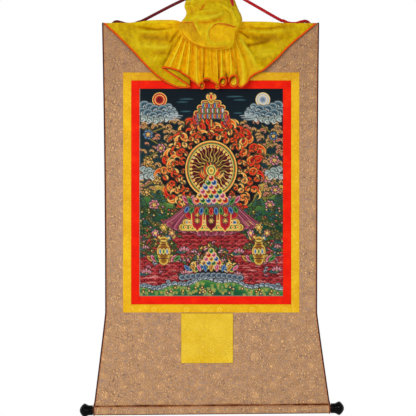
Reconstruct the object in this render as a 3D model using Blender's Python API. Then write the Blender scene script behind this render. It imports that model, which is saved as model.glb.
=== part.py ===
"""Thangka scroll painting with its silk veil gathered up, hanging from its cord.

Metres, +Z up, the painted face looks along -Y. The origin is the bend of the hanging cord, where a nail
would hold it. A "drop" is a distance below the scroll's top edge, and a "depth" is a distance in front of
the scroll's face. The scroll's own pieces are measured across from its centre line.
"""

import math
from collections import namedtuple

import bmesh
import bpy
import numpy as np
from mathutils import Vector

MM = 0.001

# Driving dimensions of the scroll
PICTURE_WIDTH = 350 * MM
PICTURE_HEIGHT = 506 * MM
STRIP = 20 * MM  # each of the red and the yellow frame strips
HEADING_HEIGHT = 121 * MM
SKIRT_HEIGHT = 222 * MM
SKIRT_TILT = 0.0085  # the skirt hangs a little lower on the left
TOP_HALF = 265 * MM
WAIST_HALF = 258.5 * MM
FOOT_HALF = 287.5 * MM
FLARE_CURVE = 1.05
SLEEVE_OUT = 1.8 * MM  # the roller's sleeve runs out this far past the skirt's edge
SKIRT_SWAY = 1.6 * MM  # the skirt's foot hangs this far to the right
HEADING_SWAY = 1.5 * MM  # and the heading's top edge this far to the left
BINDING = 4 * MM
DOOR_WIDTH = 127 * MM
DOOR_HEIGHT = 123 * MM
DOOR_CENTRE = -10 * MM

# Where the scroll hangs under the cord's bend
TOP_EDGE = -94 * MM
CENTRE_LINE = -12.4 * MM

# Cloth
CLOTH = 2 * MM
DOOR_CLOTH = 1.2 * MM
SILK = 1.5 * MM
GAP = 0.3 * MM
BELLY = 5 * MM  # how far the hanging sheet bows forward half-way down
RIPPLE = 1.2 * MM

# Batten in the heading and roller in the skirt
BATTEN_THICK = 6 * MM
BATTEN_TALL = 24 * MM
HEM = 12 * MM
SLEEVE_RADIUS = 11.5 * MM  # of the cloth's middle, round the roller
CREASE_DEEP = 3 * MM  # how far the stitched crease above the roller is drawn in
ROD_RADIUS = 9.7 * MM
TENON_RADIUS = 5 * MM
TENON_LENGTH = 16 * MM

# Hanging cord and ribbon
CORD_RADIUS = 3.75 * MM
CORD_POINTS = 72
RIBBON_THICK = 1 * MM
RIBBON_WIDE = 9 * MM

# Drops worked out from the sizes above
YELLOW_TOP = HEADING_HEIGHT
RED_TOP = YELLOW_TOP + STRIP
PICTURE_TOP = RED_TOP + STRIP
PICTURE_FOOT = PICTURE_TOP + PICTURE_HEIGHT
RED_FOOT = PICTURE_FOOT + STRIP
YELLOW_FOOT = RED_FOOT + STRIP
STITCH_LINE = YELLOW_FOOT + SKIRT_HEIGHT
ROLLER_DROP = STITCH_LINE + 14.2 * MM
RED_HALF = PICTURE_WIDTH / 2 + STRIP
YELLOW_HALF = RED_HALF + STRIP

# The veil's fan: one row for each ridge or trough, from the left corner round the hem to the right
# corner, in millimetres. It runs from the gather (root) to the hem. mid is half-way, and arch lifts the
# middle of the row above a straight line.
Fold = namedtuple("Fold", "root_x root_drop root_depth mid_depth hem_x hem_drop hem_depth arch")
FAN = [
    Fold(-66, 5, 22.6, 14, -259, 2.5, 3.0, 5),
    Fold(-66, 7.5, 23.4, 12, -251, 10, 3.5, 3),
    Fold(-66, 10, 22.6, 8.5, -241, 20, 4.0, 0),
    Fold(-66, 12.5, 23.4, 12, -227, 33, 5.0, 0),
    Fold(-66, 15, 22.6, 14, -209, 51, 5.5, 0),
    Fold(-66, 17.5, 23.4, 13, -190, 70, 7.0, 0),
    Fold(-66, 20, 22.4, 9, -172, 90, 6.0, 0),
    Fold(-66, 22.5, 22.6, 12.5, -155, 108, 8.5, 0),
    Fold(-66, 25, 20.0, 8, -134, 128, 7.0, 0),
    Fold(-65, 27.5, 17.0, 7, -108, 146, 6.0, 0),
    Fold(-61, 29, 15.5, 5, -82, 157, 4.0, 0),
    Fold(-56, 29.5, 15.0, 4.5, -58, 158, 4.0, 0),
    Fold(-54, 29, 19.0, 9.5, -54, 154, 9.0, 0),
    Fold(-60, 28, 21.0, 11, -84, 134, 11.5, 0),
    Fold(-65, 26, 23.5, 13, -114, 114, 13.5, 0),
    Fold(-67, 25, 27.0, 16, -116, 111, 18.0, 0),
    Fold(-63, 25, 29.0, 20, -102, 112, 20.0, 0),
    Fold(-59, 25, 28.0, 15, -92, 115, 16.0, 0),
    Fold(-56, 25, 29.0, 21, -81, 118, 24.0, 0),
    Fold(-53, 26, 27.5, 15, -70, 125, 16.0, 0),
    Fold(-49, 27, 28.5, 21, -59, 132, 25.0, 0),
    Fold(-44, 28, 27.0, 14, -48, 141, 14.0, 0),
    Fold(-37, 29, 28.5, 20, -37, 151, 26.0, 0),
    Fold(-30, 30, 27.0, 13, -29, 157, 14.0, 0),
    Fold(-23, 31, 28.0, 20, -20, 160, 26.0, 0),
    Fold(-17, 31, 26.5, 12, -15, 145, 11.0, 0),
    Fold(-10, 31, 28.0, 18, -8, 140, 23.0, 0),
    Fold(0, 31, 26.5, 14, 4, 146, 14.0, 0),
    Fold(10, 31, 28.0, 18, 16, 155, 22.0, 0),
    Fold(16, 31, 26.5, 12, 21, 147, 9.0, 0),
    Fold(22, 31, 28.0, 20, 28, 137, 26.0, 0),
    Fold(28, 31, 26.5, 12, 36, 149, 8.0, 0),
    Fold(33, 30, 27.0, 16, 45, 143, 18.0, 0),
    Fold(38, 30, 28.0, 21, 54, 133, 28.0, 0),
    Fold(42, 29, 27.5, 13, 63, 147, 13.0, 0),
    Fold(45, 28, 29.0, 18, 71, 157, 22.0, 0),
    Fold(47, 27, 28.0, 12, 82, 143, 10.0, 0),
    Fold(49, 26, 29.5, 16, 96, 132, 19.0, 0),
    Fold(50, 24.5, 28.4, 10, 110, 123, 8.0, 0),
    Fold(51, 22.5, 29.2, 13, 126, 117, 11.0, 0),
    Fold(51, 20.5, 28.4, 8.5, 145, 101, 6.5, 0),
    Fold(51, 18.5, 28.8, 12.5, 165, 83, 7.5, 0),
    Fold(52, 16.5, 28.0, 9, 181, 66, 5.0, 0),
    Fold(52, 14.5, 28.4, 13.5, 200, 48, 6.0, 0),
    Fold(52, 12.5, 27.6, 9, 218, 33, 4.0, 0),
    Fold(53, 10.5, 27.6, 11, 236, 18, 4.0, 0),
    Fold(53, 8.5, 27.0, 9, 247, 9, 3.0, -1),
    Fold(53, 6.5, 26.4, 10, 254, 3.5, 3.0, -3),
]
FAN_COLUMNS = 3  # between two rows of the table
FAN_ROWS = 8

# The veil's pulled-up middle: level outlines of the bunch from its tuft down to the sagging U, in
# millimetres. back and front are depths.
Level = namedtuple("Level", "drop left right back front gather")
BUNCH = [
    Level(-89, -11, 37, 4, 26, 0.9),
    Level(-84, -7, 33, 5, 23, 0.7),
    Level(-74, -7, 33, 5, 23, 0.7),
    Level(-68, -16, 39, 4, 28, 1.0),
    Level(-61, -43, 50, 3, 33, 1.6),
    Level(-52, -59, 56, 2, 38, 1.8),
    Level(-37, -64, 61, 2, 44, 1.6),
    Level(-26, -60, 66, 2, 47, 1.4),
    Level(-15, -61, 71, 4, 49, 1.2),
    Level(0, -71, 74, 8, 50, 1.0),
    Level(14, -79, 68, 14, 50, 0.8),
    Level(29, -75, 60, 19, 48, 0.5),
    Level(43, -65, 57, 27, 45, 0.0),
    Level(57, -44, 54, 29, 41, 0.0),
    Level(65, -20, 47, 30, 38, 0.0),
    Level(69, 4, 31, 31, 35, 0.0),
]
BUNCH_AROUND = 28
BUNCH_GATHERS = 11

# Half of the hanging cord, from a leg to its end behind the heading: distance from the centre line, depth
# behind the face's middle, and drop, in millimetres.
CordPoint = namedtuple("CordPoint", "out back drop")
CORD_TURN = [
    CordPoint(165, 3.8, -9.0),
    CordPoint(176, 0.3, -5.6),
    CordPoint(187, -3.4, -2.2),
    CordPoint(198, -5.4, -0.2),
    CordPoint(208, -5.3, -0.9),
    CordPoint(216, -2.7, -3.6),
    CordPoint(223, 1.9, -5.9),
    CordPoint(230, 7.4, -6.3),
    CordPoint(236.5, 12.1, -3.4),
    CordPoint(241.5, 14.6, 2.2),
    CordPoint(245, 15.0, 9.5),
    CordPoint(247, 14.7, 17.0),
]
CORD_PLANE = 4.3 * MM

# Turned knob, from the neck at the cloth to its end: distance along it and radius, in millimetres.
KNOB_PROFILE = [
    (0, 11.4),
    (2.5, 12.0),
    (8, 12.1),
    (10.5, 12.7),
    (13.5, 14.2),
    (17, 16.0),
    (19.5, 16.9),
    (21.5, 16.5),
    (24, 14.6),
    (27, 11.6),
    (29.8, 7.6),
    (31.8, 2.6),
]
KNOB_AROUND = 24


def clear_scene():
    for old in list(bpy.data.objects):
        bpy.data.objects.remove(old, do_unlink=True)


def material(name, colour, roughness, metallic=0.0):
    made = bpy.data.materials.new(name)
    made.use_nodes = True
    shader = made.node_tree.nodes["Principled BSDF"]
    shader.inputs["Base Color"].default_value = (*colour, 1.0)
    shader.inputs["Roughness"].default_value = roughness
    shader.inputs["Metallic"].default_value = metallic
    return made


def object_from(name, points, faces, finish, parent):
    """A closed mesh object whose faces point outwards."""
    mesh = bpy.data.meshes.new(name)
    mesh.from_pydata([tuple(p) for p in points], [], [tuple(int(i) for i in f) for f in faces])
    work = bmesh.new()
    work.from_mesh(mesh)
    bmesh.ops.recalc_face_normals(work, faces=work.faces)
    work.to_mesh(mesh)
    work.free()
    mesh.materials.append(finish)
    made = bpy.data.objects.new(name, mesh)
    bpy.context.scene.collection.objects.link(made)
    made.parent = parent
    return made


def grid_normals(grid):
    """Unit normals of a grid of points, from its tangents down and across."""
    down = np.gradient(grid, axis=0)
    across = np.gradient(grid, axis=1)
    normal = np.cross(across, down)
    return normal / np.linalg.norm(normal, axis=2, keepdims=True)


def cloth_solid(name, middle, thickness, finish, parent):
    """A sheet of cloth of this thickness about its middle surface, a grid of points."""
    rows, columns, _ = middle.shape
    offset = grid_normals(middle) * thickness / 2
    points = np.concatenate([(middle + offset).reshape(-1, 3), (middle - offset).reshape(-1, 3)])
    return object_from(name, points, sheet_faces(rows, columns), finish, parent)


def sheet_faces(rows, columns):
    """Faces of two matching grids, one behind the other, joined round their rim."""
    index = np.arange(rows * columns).reshape(rows, columns)
    corners = np.stack([index[:-1, :-1], index[:-1, 1:], index[1:, 1:], index[1:, :-1]], axis=-1)
    front = corners.reshape(-1, 4)
    back = front[:, ::-1] + rows * columns
    rim = np.concatenate([index[0, :-1], index[:-1, -1], index[-1, :0:-1], index[:0:-1, 0]])
    beyond = np.roll(rim, -1)
    edge = np.stack([beyond, rim, rim + rows * columns, beyond + rows * columns], axis=-1)
    return np.concatenate([front, back, edge])


def half_width(drop):
    """Half the scroll's width: it narrows a little to the waist, then flares to the roller."""
    above = WAIST_HALF + (TOP_HALF - WAIST_HALF) * np.clip(1 - drop / YELLOW_FOOT, 0, 1) ** 2
    flare = np.clip((drop - YELLOW_FOOT) / SKIRT_HEIGHT, 0, 1) ** FLARE_CURVE
    sleeve = np.clip((drop - STITCH_LINE + 5 * MM) / (9 * MM), 0, 1)
    return above + (FOOT_HALF - WAIST_HALF) * flare + SLEEVE_OUT * sleeve


def sway(drop):
    """How far the cloth's edges lie to the right: the skirt's foot does, and the heading a little the other way."""
    foot = np.clip((drop - YELLOW_FOOT) / SKIRT_HEIGHT, 0, 1)
    return SKIRT_SWAY * foot - HEADING_SWAY * np.clip(1 - drop / YELLOW_FOOT, 0, 1) ** 2


def bow(x, drop):
    """How far the hanging sheet lies in front of its flat plane: a belly half-way down and faint ripples."""
    hang = np.sin(np.pi * np.clip(drop / STITCH_LINE, 0, 1)) ** 2
    ripple = np.sin(x / TOP_HALF * 5.1 + 0.7) + 0.6 * np.sin(x / TOP_HALF * 8.3 + drop * 9 + 2.0)
    return hang * (BELLY * (1 - 0.35 * (x / TOP_HALF) ** 2) + RIPPLE * ripple)


def height(x, drop):
    """Height of a point of the scroll; below the frame the cloth hangs lower on the left."""
    share = np.clip((drop - YELLOW_FOOT) / SKIRT_HEIGHT, 0, 1)
    return TOP_EDGE - drop + SKIRT_TILT * x * share**2 * (3 - 2 * share)


def sheet_point(x, drop):
    """Points of the scroll's middle surface."""
    return np.stack([x, -bow(x, drop), height(x, drop)], axis=-1)


def flat_piece(name, left, right, top, foot, finish, parent, columns=2, rows=2, thickness=CLOTH):
    """A straight-cut piece of the sheet. left and right are numbers or functions of the drop."""
    drop = np.linspace(top + GAP / 2, foot - GAP / 2, rows)[:, None] * np.ones(columns)
    share = np.linspace(0, 1, columns)[None, :]
    low = (left(drop) if callable(left) else left) + GAP / 2
    high = (right(drop) if callable(right) else right) - GAP / 2
    x = low + (high - low) * share * np.ones_like(drop)
    return cloth_solid(name, sheet_point(x, drop), thickness, finish, parent)


def arc(centre, radius, start, end, steps):
    """Points of a circular arc in the (back, drop) plane; angles in degrees, 0 towards the back, 90 up."""
    angle = np.radians(np.linspace(start, end, steps))
    return np.stack([centre[0] + radius * np.cos(angle), centre[1] - radius * np.sin(angle)], axis=-1)


def heading_section():
    """(back, drop) of the heading from the face over the batten to the hem behind, foot of the face first."""
    radius = BATTEN_THICK / 2 + GAP + CLOTH / 2
    crown = radius + CLOTH / 2
    face = [(0, drop) for drop in np.linspace(HEADING_HEIGHT - GAP / 2, crown + 12 * MM, 7)]
    over = arc((radius, crown), radius, 180, 0, 9)
    behind = CLOTH + GAP
    batten_foot = crown + BATTEN_TALL - BATTEN_THICK / 2
    back = [(2 * radius, batten_foot), (behind, batten_foot + HEM), (behind, batten_foot + 1.7 * HEM)]
    return np.array([*face, *over, *back])


def skirt_section():
    """(back, drop) of the skirt from the frame down round the roller to the hem behind, top first."""
    reach = ROLLER_DROP - STITCH_LINE
    lean = math.degrees(math.asin(SLEEVE_RADIUS / reach))
    face = [(0, drop) for drop in np.linspace(YELLOW_FOOT + GAP / 2, STITCH_LINE - 10 * MM, 10)]
    crease = [(0.3 * CREASE_DEEP, STITCH_LINE - 5 * MM), (CREASE_DEEP, STITCH_LINE)]
    around = arc((CREASE_DEEP, ROLLER_DROP), SLEEVE_RADIUS, 180 - lean, 360 + lean, 16)
    behind = CREASE_DEEP + CLOTH + GAP
    hem = [(behind, STITCH_LINE - 0.2 * HEM), (behind, STITCH_LINE - HEM)]
    return np.array([*face, *crease, *around, *hem])


def wrapped_piece(name, section, left, right, columns, thickness, finish, parent):
    """Cloth that follows a section in depth and keeps the scroll's outline across."""
    back, drop = section[:, :1], section[:, 1:]
    width = half_width(drop)
    low, high = left(width), right(width)
    x = low + (high - low) * np.linspace(0, 1, columns)[None, :] + sway(drop)
    facing = np.where(back == 0, 1.0, 0.0)
    y = back - bow(x, drop) * facing
    middle = np.stack([x, y, height(x, drop)], axis=-1)
    return cloth_solid(name, middle, thickness, finish, parent)


def heading_and_skirt(brocade, parent):
    inner = BINDING + GAP
    for name, section in (("heading_panel", heading_section()), ("skirt_panel", skirt_section())):
        wrapped_piece(
            name, section, lambda w: inner - w, lambda w: w - inner, 9, CLOTH, brocade, parent
        )


def bindings(maroon, parent):
    """One dark strip down each side, turned over the heading and round the roller with the cloth."""
    face = [(0, drop) for drop in np.linspace(YELLOW_TOP, YELLOW_FOOT, 14)]
    section = np.concatenate([heading_section()[::-1], np.array(face)[1:-1], skirt_section()])
    for name, side in (("binding_left", -1), ("binding_right", 1)):
        wrapped_piece(
            name,
            section,
            lambda w, side=side: side * w - (BINDING if side > 0 else 0),
            lambda w, side=side: side * w + (0 if side > 0 else BINDING),
            2,
            CLOTH,
            maroon,
            parent,
        )


def frame_strips(yellow, red, parent):
    """Yellow and red strips; the upright ones run the full height, the level ones lie between them."""
    for colour, finish, inner, top, foot in (
        ("yellow", yellow, RED_HALF, YELLOW_TOP, YELLOW_FOOT),
        ("red", red, PICTURE_WIDTH / 2, RED_TOP, RED_FOOT),
    ):
        outer = inner + STRIP
        flat_piece(f"{colour}_left", -outer, -inner, top, foot, finish, parent, 2, 13)
        flat_piece(f"{colour}_right", inner, outer, top, foot, finish, parent, 2, 13)
        flat_piece(f"{colour}_top", -inner, inner, top, top + STRIP, finish, parent, 9, 2)
        flat_piece(f"{colour}_bottom", -inner, inner, foot - STRIP, foot, finish, parent, 9, 2)


def side_panels(brocade, parent):
    inner = BINDING + GAP / 2
    flat_piece(
        "side_panel_left",
        lambda d: sway(d) + inner - half_width(d),
        -YELLOW_HALF,
        YELLOW_TOP,
        YELLOW_FOOT,
        brocade,
        parent,
        4,
        13,
    )
    flat_piece(
        "side_panel_right",
        YELLOW_HALF,
        lambda d: sway(d) + half_width(d) - inner,
        YELLOW_TOP,
        YELLOW_FOOT,
        brocade,
        parent,
        4,
        13,
    )


def door_panel(yellow, parent):
    """A yellow patch laid on the skirt's face, under the frame's foot."""
    drop = np.linspace(YELLOW_FOOT + 1 * MM, YELLOW_FOOT + DOOR_HEIGHT, 5)[:, None] * np.ones(7)
    x = DOOR_CENTRE + DOOR_WIDTH * np.linspace(-0.5, 0.5, 7)[None, :] * np.ones_like(drop)
    middle = sheet_point(x, drop)
    middle[..., 1] -= CLOTH / 2 + 2 * GAP + DOOR_CLOTH / 2
    cloth_solid("door_panel", middle, DOOR_CLOTH, yellow, parent)


def batten(wood, parent):
    """A flat wooden strip with round edges, inside the heading's sleeve."""
    radius = BATTEN_THICK / 2
    centre = radius + GAP + CLOTH / 2
    upper = arc((centre, centre + CLOTH / 2), radius, 180, 0, 9)
    lower = arc((centre, centre + CLOTH / 2 + BATTEN_TALL - BATTEN_THICK), radius, 0, -180, 9)
    outline = np.concatenate([upper, lower])
    half = TOP_HALF - 2 * BINDING
    ends = [
        np.stack([np.full(len(outline), x), outline[:, 0], TOP_EDGE - outline[:, 1]], axis=-1)
        for x in (-half, half)
    ]
    object_from("top_batten", np.concatenate(ends), prism_faces(len(outline)), wood, parent)


def prism_faces(count):
    """Faces between two matching rings, closed at both ends."""
    near = np.arange(count)
    ahead = np.roll(near, -1)
    sides = np.stack([near, ahead, ahead + count, near + count], axis=-1).tolist()
    return [*sides, near[::-1].tolist(), (near + count).tolist()]


def turned(name, profile, place, direction, around, finish, parent):
    """A piece turned about X and tilted with the skirt: profile rows are (distance along, radius)."""
    angle = np.linspace(0, 2 * np.pi, around, endpoint=False)
    rings = [
        np.stack(
            [
                np.full(around, place[0] + direction * along),
                place[1] + radius * np.cos(angle),
                place[2] + radius * np.sin(angle) + SKIRT_TILT * (place[0] + direction * along),
            ],
            axis=-1,
        )
        for along, radius in profile
    ]
    faces = []
    for ring in range(len(rings) - 1):
        near = np.arange(around) + ring * around
        ahead = np.roll(near, -1)
        faces += np.stack([near, ahead, ahead + around, near + around], axis=-1).tolist()
    faces.append(np.arange(around)[::-1].tolist())
    faces.append((np.arange(around) + (len(rings) - 1) * around).tolist())
    made = object_from(name, np.concatenate(rings), faces, finish, parent)
    made.data.shade_smooth()
    made.data.set_sharp_from_angle(angle=math.radians(40))
    return made


def roller_and_knobs(wood, black, parent):
    """The rod in the skirt's sleeve, with a tenon at each end that carries a turned knob."""
    axis = (CREASE_DEEP, TOP_EDGE - ROLLER_DROP)
    shoulder = FOOT_HALF + SLEEVE_OUT + 1 * MM
    length = 2 * shoulder
    rod = [
        (0, TENON_RADIUS),
        (TENON_LENGTH, TENON_RADIUS),
        (TENON_LENGTH, ROD_RADIUS),
        (TENON_LENGTH + length, ROD_RADIUS),
        (TENON_LENGTH + length, TENON_RADIUS),
        (2 * TENON_LENGTH + length, TENON_RADIUS),
    ]
    turned("roller", rod, (SKIRT_SWAY - shoulder - TENON_LENGTH, *axis), 1, 24, wood, parent)
    socket = [
        (TENON_LENGTH + GAP, TENON_RADIUS + GAP),
        (0, TENON_RADIUS + GAP),
    ]
    outside = [(along * MM, radius * MM) for along, radius in KNOB_PROFILE]
    for name, side in (("knob_left", -1), ("knob_right", 1)):
        place = (SKIRT_SWAY + side * (shoulder + GAP), *axis)
        turned(name, socket + outside, place, side, KNOB_AROUND, black, parent)


def spline(rows, steps):
    """Catmull-Rom through the rows of an array, with this many steps between two rows."""
    padded = np.concatenate([[2 * rows[0] - rows[1]], rows, [2 * rows[-1] - rows[-2]]])
    a, b, c, d = padded[:-3], padded[1:-2], padded[2:-1], padded[3:]
    t = np.linspace(0, 1, steps, endpoint=False)[None, :, None]
    a, b, c, d = (part[:, None, :] for part in (a, b, c, d))
    curve = 0.5 * (2 * b + (c - a) * t + (2 * a - 5 * b + 4 * c - d) * t**2 + (3 * b - a - 3 * c + d) * t**3)
    return np.concatenate([curve.reshape(-1, rows.shape[1]), rows[-1:]])


def fan_surface(columns, rows):
    """The veil's wings and pleats: straight rows from the gather to the hem, bent in depth."""
    fold = spline(np.array(FAN, float), columns) * MM
    root_x, root_drop, root_depth, mid_depth, hem_x, hem_drop, hem_depth, arch = fold.T[:, None, :]
    t = np.linspace(0, 1, rows)[:, None]
    x = root_x + (hem_x - root_x) * t
    lift = arch * np.sin(np.pi * t)
    drop = root_drop + (hem_drop - root_drop) * t - lift
    depth = (
        root_depth * 2 * (t - 0.5) * (t - 1)
        + mid_depth * 4 * t * (1 - t)
        + hem_depth * 2 * t * (t - 0.5)
    )
    y = -bow(x, drop) - CLOTH / 2 - depth
    return np.stack([x, y, TOP_EDGE - drop], axis=-1)


def bunch_surface(steps, around):
    """The veil's pulled-up middle: level loops, flattened ovals with gathers, down to the sagging U."""
    level = spline(np.array(BUNCH, float), steps) * MM
    drop, left, right, back, front, gather = level.T[:, :, None]
    angle = np.linspace(0, 2 * np.pi, around, endpoint=False)[None, :]
    across, forward = np.cos(angle), np.sin(angle)
    oval = (across**4 + forward**4) ** -0.25 * 0.45 + 0.55
    pleat = 1 + gather / (right - left) * 2 * np.cos(BUNCH_GATHERS * angle + 0.4)
    x = (left + right) / 2 + (right - left) / 2 * across * oval * pleat
    depth = (back + front) / 2 + (front - back) / 2 * forward * oval * pleat
    y = -CLOTH / 2 - depth
    return np.stack([x, y, TOP_EDGE - drop * np.ones_like(x)], axis=-1)


def veil_bunch(finish, parent):
    """The bunch as a sack of silk: an outer wall, an inner wall and an open gathered mouth."""
    outer = bunch_surface(2, BUNCH_AROUND)
    rings, around, _ = outer.shape
    closed = np.concatenate([outer[:, -1:], outer, outer[:, :1]], axis=1)
    inner = outer - grid_normals(closed)[:, 1:-1] * SILK
    points = np.concatenate([outer.reshape(-1, 3), inner[:-1].reshape(-1, 3)])
    inside = rings * around
    faces = []
    for ring in range(rings - 1):
        near = np.arange(around) + ring * around
        ahead = np.roll(near, -1)
        faces += np.stack([near, ahead, ahead + around, near + around], axis=-1).tolist()
        if ring < rings - 2:
            faces += np.stack(
                [near + inside, near + around + inside, ahead + around + inside, ahead + inside], axis=-1
            ).tolist()
    rim = np.arange(around)
    faces += np.stack([rim, rim + inside, np.roll(rim, -1) + inside, np.roll(rim, -1)], axis=-1).tolist()
    faces.append((rim + (rings - 1) * around).tolist())
    faces.append((rim + inside + (rings - 2) * around)[::-1].tolist())
    return object_from("bunch", points, faces, finish, parent)


def union(target, tool):
    """Joins tool to target and removes it."""
    joint = target.modifiers.new(tool.name, "BOOLEAN")
    joint.operation = "UNION"
    joint.object = tool
    tool.hide_render = True
    tool.display_type = "WIRE"


def veil(silk, parent):
    """One cloth: wings and pleats hang from the gather, and the middle is pulled up as a bunch."""
    fan = cloth_solid("veil", fan_surface(FAN_COLUMNS, FAN_ROWS), SILK, silk, parent)
    union(fan, veil_bunch(silk, parent))


def cord_route():
    """Points of the hanging cord from its left end over the bend to its right end, scroll coordinates."""
    bend = -CENTRE_LINE
    turn = np.array(CORD_TURN, float) * MM
    out, back, drop = turn.T
    right = np.stack([out, back, TOP_EDGE - drop], axis=-1)
    left = right * [-1, 1, 1]
    crown = [
        (bend - 34 * MM, CORD_PLANE, -16 * MM),
        (bend - 16 * MM, CORD_PLANE, -6 * MM),
        (bend - 5 * MM, CORD_PLANE, -0.8 * MM),
        (bend + 5 * MM, CORD_PLANE, -0.8 * MM),
        (bend + 16 * MM, CORD_PLANE, -6.4 * MM),
        (bend + 34 * MM, CORD_PLANE, -17 * MM),
    ]
    halfway = [(left[0] + crown[0]) / 2, (right[0] + crown[-1]) / 2]
    return np.concatenate([left[::-1], [halfway[0]], crown, [halfway[1]], right])


def even_points(points, count):
    """The same line with its points at equal distances."""
    along = np.concatenate([[0], np.cumsum(np.linalg.norm(np.diff(points, axis=0), axis=1))])
    places = np.linspace(0, along[-1], count)
    return np.stack([np.interp(places, along, axis) for axis in points.T], axis=-1)


def hanging_cord(finish, parent):
    points = even_points(spline(cord_route(), 12), CORD_POINTS)
    curve = bpy.data.curves.new("hanging_cord", "CURVE")
    curve.dimensions = "3D"
    curve.bevel_depth = CORD_RADIUS
    curve.bevel_resolution = 2
    curve.use_fill_caps = True
    line = curve.splines.new("POLY")
    line.points.add(len(points) - 1)
    line.points.foreach_set("co", np.concatenate([points, np.ones((len(points), 1))], axis=1).ravel())
    curve.materials.append(finish)
    cord = bpy.data.objects.new("hanging_cord", curve)
    bpy.context.scene.collection.objects.link(cord)
    cord.parent = parent


def band(name, loop, width_way, finish, parent):
    """A closed ribbon round a loop of points, its width along width_way."""
    ahead, behind = np.roll(loop, -1, axis=0), np.roll(loop, 1, axis=0)
    outward = np.cross(ahead - behind, width_way)
    outward /= np.linalg.norm(outward, axis=1, keepdims=True)
    half = np.array(width_way) * RIBBON_WIDE / 2
    rings = [loop - half, loop + half, loop + half + outward * RIBBON_THICK, loop - half + outward * RIBBON_THICK]
    count = len(loop)
    near = np.arange(count)
    following = np.roll(near, -1)
    faces = []
    for side in range(4):
        a, b = side * count, (side + 1) % 4 * count
        faces += np.stack([near + a, following + a, following + b, near + b], axis=-1).tolist()
    return object_from(name, np.concatenate(rings), faces, finish, parent)


def tie_ribbon(finish, parent):
    """A red ribbon round the bunch's neck, looped over the cord, with one free end down the front."""
    angle = np.linspace(0, 2 * np.pi, 32, endpoint=False)
    neck = -CENTRE_LINE + 0.6 * MM
    around_neck = np.stack(
        [
            neck + 22.5 * MM * np.cos(angle),
            -15.0 * MM + 12.3 * MM * np.sin(angle),
            np.full(32, TOP_EDGE + 79 * MM),
        ],
        axis=-1,
    )
    collar = band("tie_ribbon", around_neck, (0, 0, 1), finish, parent)
    over_cord = np.stack(
        [
            np.full(32, neck - 8 * MM),
            3.9 * MM + 5.9 * MM * np.cos(angle),
            -7.2 * MM + 12.2 * MM * np.sin(angle),
        ],
        axis=-1,
    )
    union(collar, band("sling", over_cord, (1, 0, 0), finish, parent))
    x = np.array([29, 37, 43, 47.5, 50.3, 52.2]) * MM
    y = np.array([-24.8, -31, -39, -41, -41, -40]) * MM
    z = TOP_EDGE - np.array([-79, -72, -63, -55, -46, -37]) * MM
    half = np.array([4, 4, 3.8, 3.7, 2.6, 0.5]) * MM
    tail = np.stack([np.stack([x + side * half, y, z], axis=-1) for side in (-1, 1)], axis=1)
    union(collar, cloth_solid("tail", tail, RIBBON_THICK, finish, parent))


def main():
    clear_scene()
    brocade = material("brocade", (0.45, 0.27, 0.15), 0.6)
    yellow = material("yellow_satin", (0.85, 0.52, 0.02), 0.45)
    red = material("red_satin", (0.85, 0.03, 0.005), 0.45)
    canvas = material("painted_cotton", (0.12, 0.09, 0.06), 0.5)
    maroon = material("maroon_binding", (0.04, 0.008, 0.006), 0.6)
    silk = material("veil_silk", (0.8, 0.52, 0.01), 0.35)
    cord_red = material("cord_red", (0.25, 0.0, 0.005), 0.4)
    ribbon_red = material("ribbon_red", (0.6, 0.0, 0.01), 0.35)
    wood = material("wood", (0.35, 0.2, 0.1), 0.6)
    black = material("black_lacquer", (0.01, 0.01, 0.01), 0.25)

    scroll = bpy.data.objects.new("scroll", None)
    scroll.location = Vector((CENTRE_LINE, 0, 0))
    bpy.context.scene.collection.objects.link(scroll)

    half = PICTURE_WIDTH / 2
    flat_piece("picture", -half, half, PICTURE_TOP, PICTURE_FOOT, canvas, scroll, 9, 13)
    frame_strips(yellow, red, scroll)
    side_panels(brocade, scroll)
    heading_and_skirt(brocade, scroll)
    bindings(maroon, scroll)
    door_panel(yellow, scroll)
    batten(wood, scroll)
    roller_and_knobs(wood, black, scroll)
    veil(silk, scroll)
    hanging_cord(cord_red, scroll)
    tie_ribbon(ribbon_red, scroll)


main()
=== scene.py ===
"""Looks of a thangka scroll painting with its silk veil gathered up.

Metres, +Z up, the painted face looks along -Y. A drop is a distance below the scroll's top edge, a depth is
a distance in front of its face, and "out" is a distance from its centre line. The scroll's own sizes repeat
those of the part, because its surfaces are worked out again here on finer grids.
"""

import math
from collections import namedtuple

import bpy
import numpy as np
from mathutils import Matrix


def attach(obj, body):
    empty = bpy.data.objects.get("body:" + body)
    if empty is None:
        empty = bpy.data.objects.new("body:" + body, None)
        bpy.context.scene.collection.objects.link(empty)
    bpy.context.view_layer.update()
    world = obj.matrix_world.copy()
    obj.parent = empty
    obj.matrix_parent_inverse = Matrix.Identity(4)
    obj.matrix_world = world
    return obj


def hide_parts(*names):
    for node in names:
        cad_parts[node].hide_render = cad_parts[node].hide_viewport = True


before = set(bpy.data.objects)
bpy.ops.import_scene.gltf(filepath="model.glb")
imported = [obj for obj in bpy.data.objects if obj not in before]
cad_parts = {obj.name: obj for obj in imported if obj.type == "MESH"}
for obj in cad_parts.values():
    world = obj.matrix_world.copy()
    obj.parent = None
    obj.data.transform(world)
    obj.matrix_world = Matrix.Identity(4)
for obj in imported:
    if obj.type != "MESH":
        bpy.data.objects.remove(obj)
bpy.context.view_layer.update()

MM = 0.001


def table(columns, *rows):
    """A table with named columns."""
    row_of = namedtuple("Row", columns)
    return [row_of(*row) for row in rows]


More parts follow.
